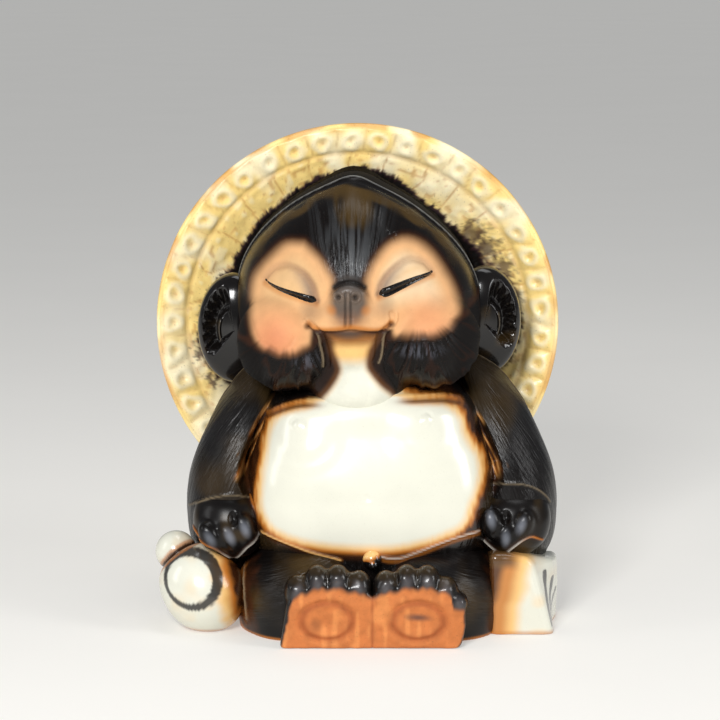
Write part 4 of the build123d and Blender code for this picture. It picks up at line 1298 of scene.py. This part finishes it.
# Tail
# A stub of a tail pressed onto the rump below the hat, combed like the rest of the fur.
# It is black glaze over the clay, and olive where the strands stand up and the glaze thins.
clay = bmesh.new()
lump(clay, (27, 70, 26), (18, 17, 27), (0, 34, 0))
lump(clay, (38, 74, 40), (10, 9, 15), (0, 34, 0))
tail = knead("tail", clay, 1.0, 3)
p = places(tail)
n = outward(tail)
wrap = 16 * np.arctan2(p[:, 0] - 27 - 0.67 * (p[:, 2] - 26), p[:, 1] - 66)
p += n * (1.1 * (hair_ridges(wrap, p[:, 2], 3.2, 201) - 0.6))[:, None]
p[:, 2] = np.maximum(p[:, 2], 0)
p[:, 1] = np.minimum(p[:, 1], cad_box[1][1] / MM - 0.2)
put(tail, p)
glaze = np.tile(BLACK, (len(p), 1))
spray(glaze, OLIVE, 0.6 * soft(0.6, 1.0, hair_ridges(wrap, p[:, 2], 3.2, 201)))
keep_paint(tail, glaze, comb=np.column_stack([wrap, p[:, 2], np.ones(len(p))]))
tail.data.materials.append(fur_glaze)
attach(tail, "root")
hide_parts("tail")

# Base slab
# The slab that closes the seat is plain fired clay with a vent hole, luted into the body's foot.
# It is wiped free of glaze, so that it doesn't stick in the kiln.
slab_clay = bpy.data.materials.new("slab_clay")
slab_clay.use_nodes = True
tree = slab_clay.node_tree
shader = tree.nodes["Principled BSDF"]
mottle = add_node(tree, "ShaderNodeGroup", [("node_tree", mottle_group)],
                  Colour=(*CLAY, 1), Cloud=0.2, Specks=0.6, Scale=120.0)
tree.links.new(mottle.outputs["Colour"], shader.inputs["Base Color"])
grit = add_node(tree, "ShaderNodeBump", Height=mottle.outputs["Cloud"], Strength=0.6, Distance=0.4 * MM)
tree.links.new(grit.outputs["Normal"], shader.inputs["Normal"])
shader.inputs["Roughness"].default_value = 0.85
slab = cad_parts["base_slab"]
slab.data.materials.clear()
slab.data.materials.append(slab_clay)

# Floor, light and camera
# A wide pale floor that glows a little, and soft boxes over the front, the sides and the top.
# The camera has the photo's view, from ten degrees up.
floor_half = 14
floor_drop = 0.0002
ground = bmesh.new()
bmesh.ops.create_grid(ground, x_segments=40, y_segments=40, size=floor_half)
bmesh.ops.translate(ground, verts=ground.verts, vec=(0, 0, -floor_drop))
floor_mesh = bpy.data.meshes.new("floor")
ground.to_mesh(floor_mesh)
ground.free()
floor = bpy.data.objects.new("floor", floor_mesh)
bpy.context.scene.collection.objects.link(floor)
paper = bpy.data.materials.new("paper")
paper.use_nodes = True
tree = paper.node_tree
shader = tree.nodes["Principled BSDF"]
cloud = add_node(tree, "ShaderNodeGroup", [("node_tree", mottle_group)],
                 Colour=(0.6, 0.585, 0.55, 1), Cloud=0.015, Specks=0.0, Scale=6.0)
tree.links.new(cloud.outputs["Colour"], shader.inputs["Base Color"])
shader.inputs["Roughness"].default_value = 0.9
shader.inputs["Emission Color"].default_value = (0.97, 0.96, 0.93, 1)
shader.inputs["Emission Strength"].default_value = 0.34
floor.data.materials.append(paper)

world = bpy.data.worlds.new("studio")
world.use_nodes = True
world.node_tree.nodes["Background"].inputs["Color"].default_value = (0.9, 0.94, 1.0, 1)
world.node_tree.nodes["Background"].inputs["Strength"].default_value = 0.2
bpy.context.scene.world = world


def soft_box(name, place, aim, width, height, power, colour=(1, 1, 1)):
    """A studio soft box that shines from one place towards another."""
    lamp = bpy.data.lights.new(name, "AREA")
    lamp.shape = "RECTANGLE"
    lamp.size, lamp.size_y = width, height
    lamp.energy = power
    lamp.color = colour
    box = bpy.data.objects.new(name, lamp)
    box.location = place
    box.rotation_euler = (Vector(aim) - Vector(place)).to_track_quat("-Z", "Y").to_euler()
    bpy.context.scene.collection.objects.link(box)


soft_box("key", (-0.35, -1.35, 0.85), (0, 0, 0.13), 0.45, 0.35, 20)
soft_box("right", (1.1, -0.5, 0.6), (0, 0, 0.12), 0.35, 0.7, 6)
soft_box("left", (-1.1, -0.3, 0.55), (0, 0, 0.12), 0.25, 0.7, 2)
soft_box("top", (0.1, 0.1, 1.3), (0, 0, 0.15), 0.7, 0.4, 2.5)

scene = bpy.context.scene
scene.view_settings.view_transform = "Standard"
lens = bpy.data.cameras.new("view")
lens.sensor_width = 36
lens.lens = 134.4
camera = bpy.data.objects.new("view", lens)
target = Vector((0.0014, 0, 0.1414))
tilt = math.radians(10)
distance = 1.5
camera.location = target + Vector((0, -distance * math.cos(tilt), distance * math.sin(tilt)))
camera.rotation_euler = (math.pi / 2 - tilt, 0, 0)
scene.collection.objects.link(camera)
scene.camera = camera
